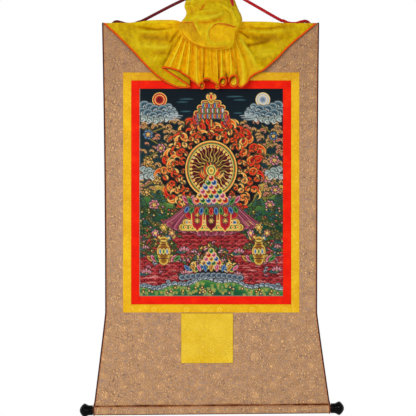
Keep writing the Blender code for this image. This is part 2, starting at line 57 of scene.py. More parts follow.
# ---- sizes, as in the part
PICTURE_WIDTH = 350 * MM
PICTURE_HEIGHT = 506 * MM
STRIP = 20 * MM
HEADING_HEIGHT = 121 * MM
SKIRT_HEIGHT = 222 * MM
SKIRT_TILT = 0.0085
TOP_HALF = 265 * MM
WAIST_HALF = 258.5 * MM
FOOT_HALF = 287.5 * MM
FLARE_CURVE = 1.05
SLEEVE_OUT = 1.8 * MM  # the roller's sleeve runs out this far past the skirt's edge
SKIRT_SWAY = 1.6 * MM  # the skirt's foot hangs this far to the right
HEADING_SWAY = 1.5 * MM  # and the heading's top edge this far to the left
BINDING = 4 * MM
BINDING_FACE = 4.8 * MM  # it laps a little over the cloth beside it
DOOR_WIDTH = 127 * MM
DOOR_HEIGHT = 123 * MM
DOOR_CENTRE = -10 * MM
TOP_EDGE = -94 * MM
CENTRE_LINE = -12.4 * MM
CLOTH = 2 * MM  # the solid's thickness; the front face of every piece lies on the solid's front
GAP = 0.3 * MM
BELLY = 5 * MM
RIPPLE = 1.2 * MM
BATTEN_THICK = 6 * MM
BATTEN_TALL = 24 * MM
HEM = 12 * MM
SLEEVE_RADIUS = 11.5 * MM
CREASE_DEEP = 3 * MM
CORD_RADIUS = 3.75 * MM
CORD_LENGTH = 0.581
RIBBON_WIDE = 9 * MM

YELLOW_TOP = HEADING_HEIGHT
RED_TOP = YELLOW_TOP + STRIP
PICTURE_TOP = RED_TOP + STRIP
PICTURE_FOOT = PICTURE_TOP + PICTURE_HEIGHT
RED_FOOT = PICTURE_FOOT + STRIP
YELLOW_FOOT = RED_FOOT + STRIP
STITCH_LINE = YELLOW_FOOT + SKIRT_HEIGHT
ROLLER_DROP = STITCH_LINE + 14.2 * MM
RED_HALF = PICTURE_WIDTH / 2 + STRIP
YELLOW_HALF = RED_HALF + STRIP

# Real thicknesses of the cloths
BROCADE_THICK = 0.9 * MM
SATIN_THICK = 0.8 * MM
CANVAS_THICK = 0.9 * MM
SILK_THICK = 0.45 * MM

# The photo's frame: one pixel at the scroll's face, and the place of the frame's middle
PIXEL = 2.439 * MM
FRAME_PIXELS = 416
VIEW_X = -20.2 * MM
VIEW_Z = -546.0 * MM


# ---- finishes
def tone(red, green, blue):
    """A linear colour from a screen colour of 0 to 255 each."""
    share = np.array([red, green, blue]) / 255
    return tuple(np.where(share > 0.04045, ((share + 0.055) / 1.055) ** 2.4, share / 12.92))


class Value:
    """A socket of a finish. Arithmetic on it adds the finish's Math nodes."""

    def __init__(self, finish, socket):
        self.finish = finish
        self.socket = socket

    def maths(self, operation, *values):
        return self.finish.maths(operation, self, *values)

    def rise(self, low, high):
        """0 below low, 1 above high, smooth between them; low may be the larger one."""
        if low > high:
            return 1 - self.rise(high, low)
        inputs = {"Value": self, "From Min": low, "From Max": high}
        return self.finish.node("ShaderNodeMapRange", {"interpolation_type": "SMOOTHSTEP"}, inputs)

    def near(self, centre, reach):
        """1 at centre, 0 at reach from it or further."""
        return abs(self - centre).rise(reach, 0.0)


for sign, operation in (("add", "ADD"), ("sub", "SUBTRACT"), ("mul", "MULTIPLY"), ("truediv", "DIVIDE")):
    setattr(Value, f"__{sign}__", lambda self, other, way=operation: self.finish.maths(way, self, other))
    setattr(Value, f"__r{sign}__", lambda self, other, way=operation: self.finish.maths(way, other, self))
for name, operation in (
    ("__abs__", "ABSOLUTE"),
    ("sin", "SINE"),
    ("cos", "COSINE"),
    ("fraction", "FRACT"),
    ("floor", "FLOOR"),
    ("most", "MAXIMUM"),
):
    setattr(Value, name, lambda self, *others, way=operation: self.maths(way, *others))


class Finish:
    """A Principled material that is written as expressions. Constants go straight on the shader's sockets."""

    def __init__(self, name, **constants):
        self.material = bpy.data.materials.new(name)
        self.material.use_nodes = True
        self.tree = self.material.node_tree
        self.shader = self.tree.nodes["Principled BSDF"]
        for socket, value in constants.items():
            self.shader.inputs[socket.replace("_", " ")].default_value = value

    def node(self, kind, settings=None, inputs=None, output=0):
        """Adds a node: its settings first, then the values or links of its sockets."""
        made = self.tree.nodes.new(kind)
        for setting, value in (settings or {}).items():
            if setting == "stops":
                for stop in range(len(value) - 2):
                    made.color_ramp.elements.new(0.5)
                for element, (place, *colour) in zip(made.color_ramp.elements, value):
                    element.position = place
                    element.color = (*tone(*colour), 1.0)
            else:
                setattr(made, setting, value)
        for socket, value in (inputs or {}).items():
            if isinstance(value, Value):
                self.tree.links.new(value.socket, made.inputs[socket])
            elif isinstance(value, tuple) and len(value) == 3 and made.inputs[socket].type == "RGBA":
                made.inputs[socket].default_value = (*value, 1.0)
            else:
                made.inputs[socket].default_value = value
        return Value(self, made.outputs[output])

    def maths(self, operation, *values):
        return self.node("ShaderNodeMath", {"operation": operation}, dict(enumerate(values)))

    def place(self):
        return self.node("ShaderNodeTexCoord", output="Object")

    def mark(self, name, output="Fac"):
        """A number or vector that the mesh carries under this name."""
        return self.node("ShaderNodeAttribute", {"attribute_name": name}, output=output)

    def split(self, vector):
        made = self.tree.nodes.new("ShaderNodeSeparateXYZ")
        self.tree.links.new(vector.socket, made.inputs[0])
        return [Value(self, socket) for socket in made.outputs]

    def join(self, x, y, z=0.0):
        return self.node("ShaderNodeCombineXYZ", None, {0: x, 1: y, 2: z})

    def noise(self, vector, scale, detail=2.0, roughness=0.5, distortion=0.0):
        inputs = {"Vector": vector, "Scale": scale, "Detail": detail, "Roughness": roughness}
        return self.node("ShaderNodeTexNoise", None, {**inputs, "Distortion": distortion})

    def cells(self, vector, scale, feature="F1"):
        return self.node("ShaderNodeTexVoronoi", {"feature": feature}, {"Vector": vector, "Scale": scale})

    def mix(self, share, first, second):
        return self.node("ShaderNodeMix", {"data_type": "RGBA"}, {0: share, 6: first, 7: second}, output=2)

    def ramp(self, share, *stops):
        """A colour by share, through stops of (share, red, green, blue)."""
        return self.node("ShaderNodeValToRGB", {"stops": stops}, {0: share})

    def layers(self, colour, *rows):
        """A colour with others laid over it in turn, as rows of (share, red, green, blue)."""
        for share, *over in rows:
            colour = self.mix(share, colour, tone(*over))
        return colour

    def wear(self, relief=None, **links):
        """Links values to the shader's sockets, with a relief of (height, strength, distance)."""
        if relief:
            inputs = dict(zip(("Height", "Strength", "Distance"), relief))
            links["Normal"] = self.node("ShaderNodeBump", None, inputs)
        for socket, value in links.items():
            target = self.shader.inputs[socket.replace("_", " ")]
            if isinstance(value, Value):
                self.tree.links.new(value.socket, target)
            else:
                target.default_value = (*value, 1.0)
        return self.material


def weave_height(across, along, pitch):
    """Threads over and under: one set of threads shows where the other dips."""
    warp = (across * (math.pi / pitch)).sin()
    weft = (along * (math.pi / pitch)).sin()
    return warp * warp * 0.5 + weft * weft * 0.5


def medallions(finish, across, along, repeat):
    """Woven round medallions in half-drop rows: (fill, line), each from 0 to 1.

    By radius and angle, a medallion is a scalloped ring, a smaller ring and a rosette of petals. Between the
    medallions run vine scrolls, the contour bands of a soft noise, with small leaves.
    """
    column = (across / repeat).floor()
    u = (across / repeat).fraction() - 0.5
    v = (along / repeat + column * 0.5).fraction() - 0.5
    radius = (u * u + v * v).maths("SQRT")
    angle = finish.maths("ARCTAN2", v, u)
    edge = 0.38 + 0.012 * (angle * 12).cos()
    inside = (radius - edge).rise(0.01, -0.01)
    rings = (radius - edge).near(0.0, 0.028).most((radius - 0.29).near(0.0, 0.02))
    petal_edge = radius - (0.17 + 0.055 * (angle * 8).cos())
    petals = petal_edge.rise(0.012, -0.012) - (radius - 0.06).rise(0.01, -0.01)
    leaves = (radius - (0.335 + 0.02 * (angle * 16).cos())).near(0.0, 0.022)
    outline = rings.most(petal_edge.near(0.0, 0.018))
    spot = finish.join(across, along)
    swirl = finish.noise(spot, 2.3 / repeat, 1.0, 0.4, 2.4) * 15
    vine = abs(swirl.fraction() - 0.5)
    leaf = finish.cells(spot, 6.5 / repeat, "SMOOTH_F1")
    fill = inside * petals.most(leaves) + (1 - inside) * leaf.rise(0.34, 0.2).most(vine.rise(0.2, 0.1) * 0.7)
    line = inside * outline + (1 - inside) * vine.near(0.24, 0.07).most(leaf.near(0.36, 0.06))
    return fill, line


def cloth_finish(name, roughness, shine, **constants):
    """A cloth's finish, with its places across and along the cloth and both of them as one vector."""
    finish = Finish(name, Roughness=roughness, Specular_IOR_Level=shine, **constants)
    across, along, _ = finish.split(finish.mark("lay", "Vector"))
    return finish, across, along, finish.join(across, along)


def brocade_finish(name, front=True):
    """Tan brocade: golden figures with mauve-grey outlines on a tan ground, and a coarser plain back."""
    finish, across, along, spot = cloth_finish(name, 0.62, 0.12)
    thread = finish.noise(finish.join(across, along * 0.35), 620, 2, 0.6)
    weave = weave_height(across, along, 0.7 * MM)
    if not front:
        colour = finish.ramp(thread, (0.25, 120, 96, 74), (0.8, 176, 148, 118))
        return finish.wear((weave, 0.5, 0.25 * MM), Base_Color=colour)
    fill, line = medallions(finish, across + 9 * MM, along - 7 * MM, 46 * MM)
    broad = finish.noise(spot, 11, 3, 0.6)
    bright = finish.cells(finish.join(across, along * 0.75), 215).rise(0.42, 0.16)
    grey = finish.cells(finish.join(across * 1.25 + 0.31, along * 0.85), 165).rise(0.46, 0.2)
    gold = bright * (0.3 + fill * 0.7) * (0.45 + broad.rise(0.36, 0.6) * 0.55)
    mottle_and_ragged_shade = finish.noise(spot, 60, 3, 0.7)
    # Painted shade in the seams, in the crease above the roller and under it, made ragged by the mottle
    shade = finish.mark("shade")
    shade = shade + (mottle_and_ragged_shade - 0.5) * 1.4 * shade.rise(0.05, 0.5)
    ground = ((0.32, 156, 112, 72), (0.48, 188, 142, 100), (0.64, 206, 160, 116))
    colour = finish.layers(
        finish.ramp(thread * 0.55 + mottle_and_ragged_shade * 0.45, *ground),
        (line * (0.6 + broad.rise(0.35, 0.65) * 0.4), 112, 90, 86),
        (grey * (0.4 + broad.rise(0.55, 0.35) * 0.5), 146, 127, 126),
        (fill * 0.25, 214, 164, 112),
        (gold, 255, 200, 128),
        # Painted shade: the cloth darker towards the scroll's top
        (finish.mark("high") * 0.3, 110, 68, 38),
        (shade.rise(0.0, 0.5) * 0.75, 160, 84, 34),
        (shade.rise(0.35, 0.95), 40, 14, 4),
    )
    height = fill * 0.4 + gold * 0.6 - line * 0.4 + weave * 0.5 + thread * 0.35
    return finish.wear((height, 0.5, 0.35 * MM), Base_Color=colour, Roughness=0.66 - gold * 0.25)


def yellow_satin_finish():
    """Golden satin with a faint woven figure in its own tone."""
    finish, across, along, spot = cloth_finish("yellow_satin", 0.5, 0.1)
    fill, line = medallions(finish, across, along, 40 * MM)
    patch = finish.noise(spot, 26, 2, 0.55)
    thread = finish.noise(finish.join(across, along * 0.3), 560, 2, 0.6)
    base = ((0.30, 216, 150, 2), (0.52, 234, 178, 8), (0.72, 246, 200, 24))
    colour = finish.layers(
        finish.ramp(patch * 0.55 + thread * 0.45, *base),
        (fill * 0.35, 255, 222, 84),
        (line * 0.2, 206, 140, 0),
        # Painted shade: the top strip darker, like the cloth towards the scroll's top
        (finish.mark("high").rise(0.54, 0.6) * 0.25, 170, 88, 8),
        (finish.mark("shade"), 150, 80, 4),
    )
    height = fill * 0.5 + weave_height(across, along, 0.55 * MM) * 0.35 + thread * 0.3
    return finish.wear((height, 0.4, 0.25 * MM), Base_Color=colour, Roughness=0.55 - fill * 0.15)


def red_satin_finish():
    """Plain bright red satin with long weft threads."""
    finish, across, along, spot = cloth_finish("red_satin", 0.5, 0.08)
    thread = finish.noise(finish.join(across * 4, along), 380, 3, 0.6)
    patch = finish.noise(spot, 34, 2, 0.5)
    base = ((0.30, 218, 16, 0), (0.52, 238, 26, 0), (0.74, 250, 56, 4))
    colour = finish.ramp(thread * 0.45 + patch * 0.55, *base)
    height = weave_height(across, along, 0.5 * MM) * 0.4 + thread * 0.4
    colour = finish.layers(colour, (finish.mark("shade"), 130, 8, 0))
    return finish.wear((height, 0.35, 0.22 * MM), Base_Color=colour)


def door_finish():
    """Yellow brocade with ringed medallions and flecks in its own tone; its last centimetres are plain."""
    finish, across, along, spot = cloth_finish("yellow_brocade", 0.52, 0.12)
    fill, line = medallions(finish, across + 22.6 * MM, along + 765.7 * MM, 54 * MM)
    patch = finish.noise(spot, 18, 2, 0.5)
    speck = finish.cells(spot, 210)
    foot = YELLOW_FOOT + DOOR_HEIGHT
    figured = along.rise(14 * MM - foot, 17 * MM - foot)
    base = ((0.22, 214, 168, 22), (0.46, 230, 186, 34), (0.70, 240, 202, 56))
    colour = finish.layers(
        finish.ramp(patch * 0.6 + speck * 0.4, *base),
        (line * figured * 0.28, 180, 136, 16),
        (speck.rise(0.42, 0.14) * (0.25 + fill * 0.6) * figured, 255, 230, 110),
        (finish.mark("shade"), 150, 104, 10),
    )
    height = (fill * 0.7 - line * 0.3) * figured + weave_height(across, along, 0.6 * MM) * 0.4
    return finish.wear((height, 0.5, 0.3 * MM), Base_Color=colour, Roughness=0.56 - fill * 0.15)


def binding_finish():
    """Dark maroon edging, ribbed across, with a line of orange-tan piping along its inner side."""
    finish = Finish("maroon_binding", Roughness=0.6, Specular_IOR_Level=0.1)
    across, along, inward = finish.split(finish.mark("lay", "Vector"))
    rib = (along * (2 * math.pi / (0.8 * MM))).sin() * 0.5 + 0.5
    spot = finish.join(across, along)
    dark = finish.ramp(finish.noise(spot, 300, 2, 0.6), (0.3, 44, 18, 18), (0.7, 84, 42, 36))
    piping = finish.ramp(finish.noise(spot, 260, 2, 0.6), (0.3, 176, 104, 66), (0.7, 226, 158, 108))
    colour = finish.mix(inward.rise(0.72, 0.78), dark, piping)
    return finish.wear((rib, 0.4, 0.2 * MM), Base_Color=colour)


def silk_finish():
    """Thin yellow silk, finely crinkled: greenish-yellow where lit, deeper orange-yellow and painted shade in
    its folds, painted highlights on ridges.
    """
    glow = {"Subsurface_Weight": 0.3, "Subsurface_Radius": (1.0, 0.7, 0.1), "Subsurface_Scale": 5 * MM}
    finish, across, along, spot = cloth_finish("veil_silk", 0.45, 0.05, **glow)
    amber = finish.mark("amber")
    crinkle = finish.noise(finish.join(across * 1.3, along), 75, 3, 0.55, 0.5)
    mottle = finish.noise(spot, 26, 3, 0.6)
    # The lit colour and shaded copies of it. deep is the pleats' own deeper tone plus painted shade; dark and
    # the fold ramp below are painted shade.
    lit = ((0.32, 172, 128, 0), (0.48, 206, 163, 0), (0.62, 223, 186, 4), (0.76, 242, 214, 32))
    light = finish.ramp(mottle * 0.5 + crinkle * 0.5, *lit)
    deep = finish.ramp(crinkle, (0.30, 222, 150, 0), (0.50, 240, 171, 0), (0.72, 252, 194, 4))
    dark = finish.ramp(crinkle, (0.30, 162, 98, 0), (0.70, 196, 128, 0))
    colour = finish.mix(amber.rise(0.05, 0.65), light, deep)
    colour = finish.mix(amber.rise(0.65, 1.25), colour, dark)
    dusk = finish.ramp(crinkle * 0.6 + mottle * 0.4, (0.34, 146, 98, 0), (0.66, 188, 140, 2))
    colour = finish.mix(finish.mark("dusk"), colour, dusk)
    # Painted highlights on ridges and raised creases; the overlocked edge's own orange, and orange painted
    # shade along creases.
    glow, rust = finish.mark("glow") * 0.8, finish.mark("rust")
    colour = finish.layers(colour, (glow, 250, 222, 44), (rust, 206, 88, 4))
    height = crinkle * 0.7 + weave_height(across, along, 0.4 * MM) * 0.1 + mottle * 0.6
    return finish.wear((height, 0.4, 1.2 * MM), Base_Color=colour, Roughness=0.36 + crinkle * 0.22)


def hem_finish():
    """Orange-red overlock thread, wound slantwise round the veil's edge, its outer side darkened as a painted
    shadow.
    """
    finish = Finish("hem_thread", Roughness=0.55, Specular_IOR_Level=0.1)
    around, along, inward = finish.split(finish.mark("lay", "Vector"))
    wound = (along * (2 * math.pi / (1.3 * MM)) + around * 2).sin() * 0.5 + 0.5
    colour = finish.ramp(wound, (0.1, 208, 58, 4), (0.75, 255, 108, 18))
    # Painted shadow of the edge on the cloth behind it, on the outer side
    colour = finish.layers(colour, (inward.rise(-0.3, -0.62) * 0.85, 92, 22, 8))
    return finish.wear((wound, 0.7, 0.35 * MM), Base_Color=colour)


def cord_finish():
    """Satin threads that run along a twisted strand; the cord's left half is painted duller and darker, as
    shade.
    """
    finish = Finish("cord_red", Roughness=0.42, Specular_IOR_Level=0.2)
    around, along, _ = finish.split(finish.mark("lay", "Vector"))
    thread = ((around * 9 + along * (2 * math.pi / (2.4 * MM))).sin()) * 0.5 + 0.5
    loose = finish.noise(finish.join(around * 0.01, along), 240, 2, 0.5)
    sheen = thread * 0.4 + loose * 0.6
    # Painted shade on the left half; the right half keeps the lit red
    shaded_red = finish.ramp(sheen, (0.28, 64, 0, 4), (0.72, 128, 6, 16))
    bright = finish.ramp(sheen, (0.28, 118, 0, 4), (0.72, 222, 10, 24))
    colour = finish.mix(along.rise(0.44 * CORD_LENGTH, 0.56 * CORD_LENGTH), shaded_red, bright)
    return finish.wear((thread, 0.35, 0.2 * MM), Base_Color=colour)


def fibre_finish(name, roughness, shine, scale, dark, light, relief=()):
    """Plain fibres between a dark and a light colour, with a relief of (strength, distance) if any."""
    finish = Finish(name, Roughness=roughness, Specular_IOR_Level=shine)
    fibre = finish.noise(finish.place(), scale, 2, 0.6)
    relief = relief and (fibre, *relief)
    return finish.wear(relief, Base_Color=finish.ramp(fibre, (0.3, *dark), (0.7, *light)))


def lacquer_finish():
    """Black gloss lacquer over turned wood, with dust and fine turning rings in the coat."""
    finish = Finish("black_lacquer", Roughness=0.2, Specular_IOR_Level=0.075)
    spot = finish.place()
    x, _, _ = finish.split(spot)
    rings = (x * (2 * math.pi / (0.9 * MM))).sin() * 0.5 + 0.5
    dust = finish.noise(spot, 320, 3, 0.6)
    colour = finish.ramp(dust, (0.35, 1, 1, 1), (0.8, 9, 8, 8))
    return finish.wear((rings, 0.08, 0.1 * MM), Base_Color=colour, Roughness=0.1 + dust * 0.16)


def wood_finish():
    """Plain softwood with its grain along X."""
    finish = Finish("wood", Roughness=0.62, Specular_IOR_Level=0.3)
    x, y, z = finish.split(finish.place())
    grain = finish.noise(finish.join(x * 0.06, y, z), 420, 4, 0.6, 0.4)
    colour = finish.ramp(grain, (0.3, 132, 96, 60), (0.7, 186, 146, 100))
    return finish.wear((grain, 0.3, 0.3 * MM), Base_Color=colour)


# ---- making meshes
SHARP_DEGREES = 55  # faces that meet at more than this show an edge


def joined(*parts):
    """Numbers and arrays of one shape as the last axis of a new one, such as x, y and z."""
    return np.stack(np.broadcast_arrays(*parts), axis=-1)


def held(share):
    """A share kept between 0 and 1."""
    return np.clip(share, 0, 1)


def bell(distance, reach):
    """1 at no distance and a smooth fall on both sides, to 0.37 at reach."""
    return np.exp(-((distance / reach) ** 2))


def placed(name, data):
    """A new object of the scene."""
    made = bpy.data.objects.new(name, data)
    bpy.context.scene.collection.objects.link(made)
    return made


def dress(made, node, slot, flat=None, **sheet):
    """Hides the part's solid that a mesh stands for. Its slot and, for a hung sheet, its flat size are not
    used.
    """
    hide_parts(node)


def make_piece(name, points, blocks, finishes, **marks):
    """A mesh piece from points and blocks of faces. Each block is (array of faces, number of its finish), and
    each mark gives a number or a vector to every point."""
    points = points.reshape(-1, 3)
    mesh = bpy.data.meshes.new(name)
    corners = np.concatenate([faces.ravel() for faces, _ in blocks])
    sides = np.concatenate([np.full(len(faces), faces.shape[1]) for faces, _ in blocks])
    which = np.concatenate([np.full(len(faces), finish) for faces, finish in blocks])
    starts = np.concatenate([[0], np.cumsum(sides)[:-1]])
    mesh.vertices.add(len(points))
    mesh.vertices.foreach_set("co", np.ascontiguousarray(points, np.float32).ravel())
    mesh.loops.add(len(corners))
    mesh.loops.foreach_set("vertex_index", corners.astype(np.int32))
    mesh.polygons.add(len(sides))
    mesh.polygons.foreach_set("loop_start", starts.astype(np.int32))
    mesh.polygons.foreach_set("material_index", which.astype(np.int32))
    for finish in finishes:
        mesh.materials.append(finish)
    for mark, values in marks.items():
        kind, field = ("FLOAT", "value") if values.size == len(points) else ("FLOAT_VECTOR", "vector")
        layer = mesh.attributes.new(mark, kind, "POINT")
        layer.data.foreach_set(field, np.ascontiguousarray(values, np.float32).ravel())
    mesh.update(calc_edges=True)
    mesh.shade_smooth()
    mesh.set_sharp_from_angle(angle=math.radians(SHARP_DEGREES))
    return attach(placed(name, mesh), "root")


def unit(vectors):
    return vectors / np.maximum(np.linalg.norm(vectors, axis=-1, keepdims=True), 1e-12)


def facing(grid):
    """Unit vectors out of a grid of points whose rows go down and columns go to the viewer's right."""
    return unit(np.cross(np.gradient(grid, axis=0), np.gradient(grid, axis=1)))


def rim_of(index):
    """A grid's outer points in order: along the top, down the right, back along the foot, up the left."""
    return np.concatenate([index[0, :-1], index[:-1, -1], index[-1, :0:-1], index[:0:-1, 0]])


def quads_of(index):
    """Faces of a grid that look at the viewer."""
    return joined(index[:-1, :-1], index[1:, :-1], index[1:, 1:], index[:-1, 1:]).reshape(-1, 4)


def wall_of(index, outward=True):
    """Faces of a closed wall: each row of the index runs round it, and the other way looks inward."""
    ahead = np.roll(index, -1, axis=-1)
    low, high = index[..., :-1, :], index[..., 1:, :]
    next_low, next_high = ahead[..., :-1, :], ahead[..., 1:, :]
    corners = (low, high, next_high, next_low) if outward else (low, next_low, next_high, high)
    return joined(*corners).reshape(-1, 4)


def cloth(name, front, thickness, finishes, stride=1, **marks):
    """A thin closed sheet. Behind the front grid lies its every stride-th point, set back by the thickness,
    and many-sided faces join the two rims. The last finish is the back's."""
    rows, columns, _ = front.shape
    back = (front - facing(front) * thickness)[::stride, ::stride]
    front_index = np.arange(rows * columns).reshape(rows, columns)
    back_index = rows * columns + np.arange(back.shape[0] * back.shape[1]).reshape(back.shape[:2])
    fine, coarse = rim_of(front_index), rim_of(back_index)
    spans = (np.arange(len(coarse))[:, None] * stride + np.arange(stride + 1)) % len(fine)
    edge = np.concatenate([fine[spans], np.roll(coarse, -1)[:, None], coarse[:, None]], axis=1)
    blocks = [(quads_of(front_index), 0), (quads_of(back_index)[:, ::-1], len(finishes) - 1), (edge, 0)]

    def both(values, behind):
        return np.concatenate([part.reshape(-1, *values.shape[2:]) for part in (values, behind)])

    spread = {mark: both(values, values[::stride, ::stride]) for mark, values in marks.items()}
    return make_piece(name, both(front, back), blocks, finishes, **spread)


def spaced(low, high, step):
    """Places from low to high about a step apart, with closer ones at both ends."""
    offsets = np.array(EDGE_STEPS)
    count = max(2, int(round((high - low - 2 * offsets[-1]) / step)) + 1)
    middle = np.linspace(low + offsets[-1], high - offsets[-1], count)
    return np.unique(np.round(np.concatenate([low + offsets, middle, high - offsets]), 9))


def curve_through(rows, steps):
    """Catmull-Rom through rows of numbers, with this many steps between two rows."""
    rows = np.array(rows, float)
    padded = np.concatenate([[2 * rows[0] - rows[1]], rows, [2 * rows[-1] - rows[-2]]])[:, None]
    a, b, c, d = padded[:-3], padded[1:-2], padded[2:-1], padded[3:]
    t = np.linspace(0, 1, steps, endpoint=False)[None, :, None]
    curve = 0.5 * (2 * b + (c - a) * t + (2 * a - 5 * b + 4 * c - d) * t**2 + (3 * b - a - 3 * c + d) * t**3)
    return np.concatenate([curve.reshape(-1, rows.shape[1]), rows[-1:]])


def even_points(points, count):
    """The same line with its points at equal distances."""
    along = run_length(points)
    places = np.linspace(0, along[-1], count)
    return joined(*[np.interp(places, along, axis) for axis in points.T])


def run_length(points):
    """Distance along a line of points."""
    return np.concatenate([[0], np.cumsum(np.linalg.norm(np.diff(points, axis=0), axis=1))])


def round_angles(count):
    """Angles once round, in radians."""
    return np.linspace(0, 2 * np.pi, count, endpoint=False)


def tube(name, path, radius, around, finish, squash=1.0):
    """A closed tube along a path. radius is an array of (points, around), from the path outwards; squash
    flattens it from front to back."""
    tangent = unit(np.gradient(path, axis=0))
    side = unit(np.cross(tangent, (0, 1, 0)))
    up = np.cross(side, tangent)
    angle = round_angles(around)[None, :, None]
    spoke = side[:, None] * np.cos(angle) + up[:, None] * np.sin(angle) * squash
    rings = path[:, None] + radius[..., None] * spoke
    index = np.arange(len(path) * around).reshape(-1, around)
    blocks = [(wall_of(index, False), 0), (np.stack([index[0, ::-1], index[-1]]), 0)]
    lay = joined(angle[..., 0], run_length(path)[:, None], np.cos(angle[..., 0]))
    return make_piece(name, rings, blocks, [finish], lay=lay)


def turned_piece(name, profile, centre, direction, around, finish):
    """A piece turned about X: profile rows are (distance along, radius); direction is 1 or -1 along X."""
    angle = round_angles(around)[None, :]
    along, radius = profile[:, :1], profile[:, 1:]
    x = centre[0] + direction * along
    y, z = centre[1] + radius * np.cos(angle), centre[2] + radius * np.sin(angle) + SKIRT_TILT * x
    index = np.arange(len(profile) * around).reshape(-1, around)
    wall, caps = wall_of(index), np.stack([index[0], index[-1, ::-1]])
    if direction < 0:
        wall, caps = wall[:, ::-1], caps[:, ::-1]
    return make_piece(name, joined(x + CENTRE_LINE, y, z), [(wall, 0), (caps, 0)], [finish])


# ---- the scroll's surface
def skirt_share(drop):
    """0 at the frame's foot and above, 1 at the skirt's stitch line and below."""
    return held((drop - YELLOW_FOOT) / SKIRT_HEIGHT)


def half_width(drop):
    """Half the scroll's width: it narrows a little to the waist, then flares to the roller."""
    above = WAIST_HALF + (TOP_HALF - WAIST_HALF) * held(1 - drop / YELLOW_FOOT) ** 2
    sleeve = held((drop - STITCH_LINE + 5 * MM) / (9 * MM))
    return above + (FOOT_HALF - WAIST_HALF) * skirt_share(drop) ** FLARE_CURVE + SLEEVE_OUT * sleeve


def sway(drop):
    """How far the cloth's edges lie to the right, at the skirt's foot, or to the left, in the heading."""
    return SKIRT_SWAY * skirt_share(drop) - HEADING_SWAY * held(1 - drop / YELLOW_FOOT) ** 2


def bow(x, drop):
    """How far the hanging sheet lies in front of its flat plane: a belly half-way down and faint ripples."""
    hang = np.sin(np.pi * held(drop / STITCH_LINE)) ** 2
    ripple = np.sin(x / TOP_HALF * 5.1 + 0.7) + 0.6 * np.sin(x / TOP_HALF * 8.3 + drop * 9 + 2.0)
    return hang * (BELLY * (1 - 0.35 * (x / TOP_HALF) ** 2) + RIPPLE * ripple)


def height(x, drop):
    """Height of a point of the scroll; below the frame the cloth hangs lower on the left."""
    share = skirt_share(drop)
    return TOP_EDGE - drop + SKIRT_TILT * x * share**2 * (3 - 2 * share)


def pucker(x, drop):
    """Small unevenness of sewn cloth: short shallow waves, at most about 0.35 mm."""
    upright = 0.2 * MM * np.sin(x / (17 * MM) + 3 * np.sin(drop / (90 * MM)))
    return upright + 0.15 * MM * np.sin(drop / (23 * MM) + 2 * np.sin(x / (70 * MM)))


def hung(x, drop, dip, depth=CLOTH / 2):
    """Points of the hanging cloth's face, turned in by dip, and their places on the cloth."""
    front = joined(x + CENTRE_LINE, -bow(x, drop) - depth - pucker(x, drop) + dip, height(x, drop))
    return front, joined(x, -drop, 0.0)


SEAM_DEEP = 0.4 * MM
SEAM_LAP = 0.2 * MM  # neighbouring cloths lap in the seam, so that no light shows through it
SEAM_REACH = 1.3 * MM
SEAM_SHADE = 0.32
EDGE_STEPS = (0.0, 0.4 * MM, 0.9 * MM, 1.6 * MM, 2.8 * MM)


def seam_dip(distance):
    """How far the cloth turns in at a seam this far away."""
    return SEAM_DEEP * bell(distance, SEAM_REACH)


def painted_top_shade(drop):
    """How much painted shade darkens the cloth: 1 at the scroll's top edge and 0 from the picture's middle
    down.
    """
    return held(1 - drop / 0.34)


def flat_piece(name, left, right, top, foot, finishes, thickness, step, slot):
    """A straight-cut piece of the sheet with its edges turned in. left and right are numbers or functions."""

    def edge(place, drop):
        return place(drop) if callable(place) else place

    drops = spaced(top - SEAM_LAP, foot + SEAM_LAP, step)
    wide = edge(right, 0.3) - edge(left, 0.3)
    shares = spaced(0, wide, step) / wide
    drop = drops[:, None] * np.ones(len(shares))
    low, high = edge(left, drop) - SEAM_LAP, edge(right, drop) + SEAM_LAP
    x = low + (high - low) * shares[None, :]
    nearest = np.minimum(np.minimum(x - low, high - x), np.minimum(drop - drops[0], drops[-1] - drop))
    front, lay = hung(x, drop, seam_dip(nearest))
    shade = SEAM_SHADE * bell(nearest, 0.9 * MM)
    made = cloth(f"{name}_cloth", front, thickness, finishes, lay=lay, shade=shade, high=painted_top_shade(drop))
    dress(made, name, slot, (float(wide), float(foot - top)), rests_on=["top_batten"])


def arc(centre, radius, start, end, steps):
    """Points of a circular arc in the (back, drop) plane; angles in degrees, 0 towards the back, 90 up."""
    angle = np.radians(np.linspace(start, end, steps))
    return joined(centre[0] + radius * np.cos(angle), centre[1] - radius * np.sin(angle))


def heading_section(steps):
    """(back, drop) of the heading's middle from behind, over the batten, down the face."""
    radius = BATTEN_THICK / 2 + GAP + CLOTH / 2
    crown = radius + CLOTH / 2
    behind = CLOTH + GAP
    batten_foot = crown + BATTEN_TALL - BATTEN_THICK / 2
    back = [(behind, batten_foot + 1.7 * HEM), (behind, batten_foot + HEM), (2 * radius, batten_foot)]
    face = [(0, drop) for drop in np.linspace(crown + 4 * MM, HEADING_HEIGHT + SEAM_LAP, steps)]
    return np.array([*back, *arc((radius, crown), radius, 0, 180, 18), *face])


# The pinched cloth above the roller, in millimetres: depth back from the face, and way down from the stitches
PINCH = [(0.0, -2), (0.05, 1), (0.4, 3), (1.1, 4.1), (2.0, 4.6), (1.2, 5.0), (-1.2, 5.1), (-3.4, 5.35)]
CREASE_DROP = STITCH_LINE + 4.4 * MM  # the deepest line of the pinch


def skirt_section(steps):
    """(back, drop) of the skirt's middle from the frame down round the roller to the hem behind."""
    lean = math.degrees(math.asin(SLEEVE_RADIUS / (ROLLER_DROP - STITCH_LINE)))
    face = [(0, drop) for drop in np.linspace(YELLOW_FOOT - SEAM_LAP, STITCH_LINE - 6 * MM, steps)]
    crease = [(back * MM, STITCH_LINE + down * MM) for back, down in PINCH]
    around = arc((CREASE_DEEP, ROLLER_DROP), SLEEVE_RADIUS, 134, 360 + lean, 40)
    behind = CREASE_DEEP + CLOTH + GAP
    hem = [(behind, STITCH_LINE - 0.2 * HEM), (behind, STITCH_LINE - HEM)]
    return np.array([*face, *crease, *around, *hem])


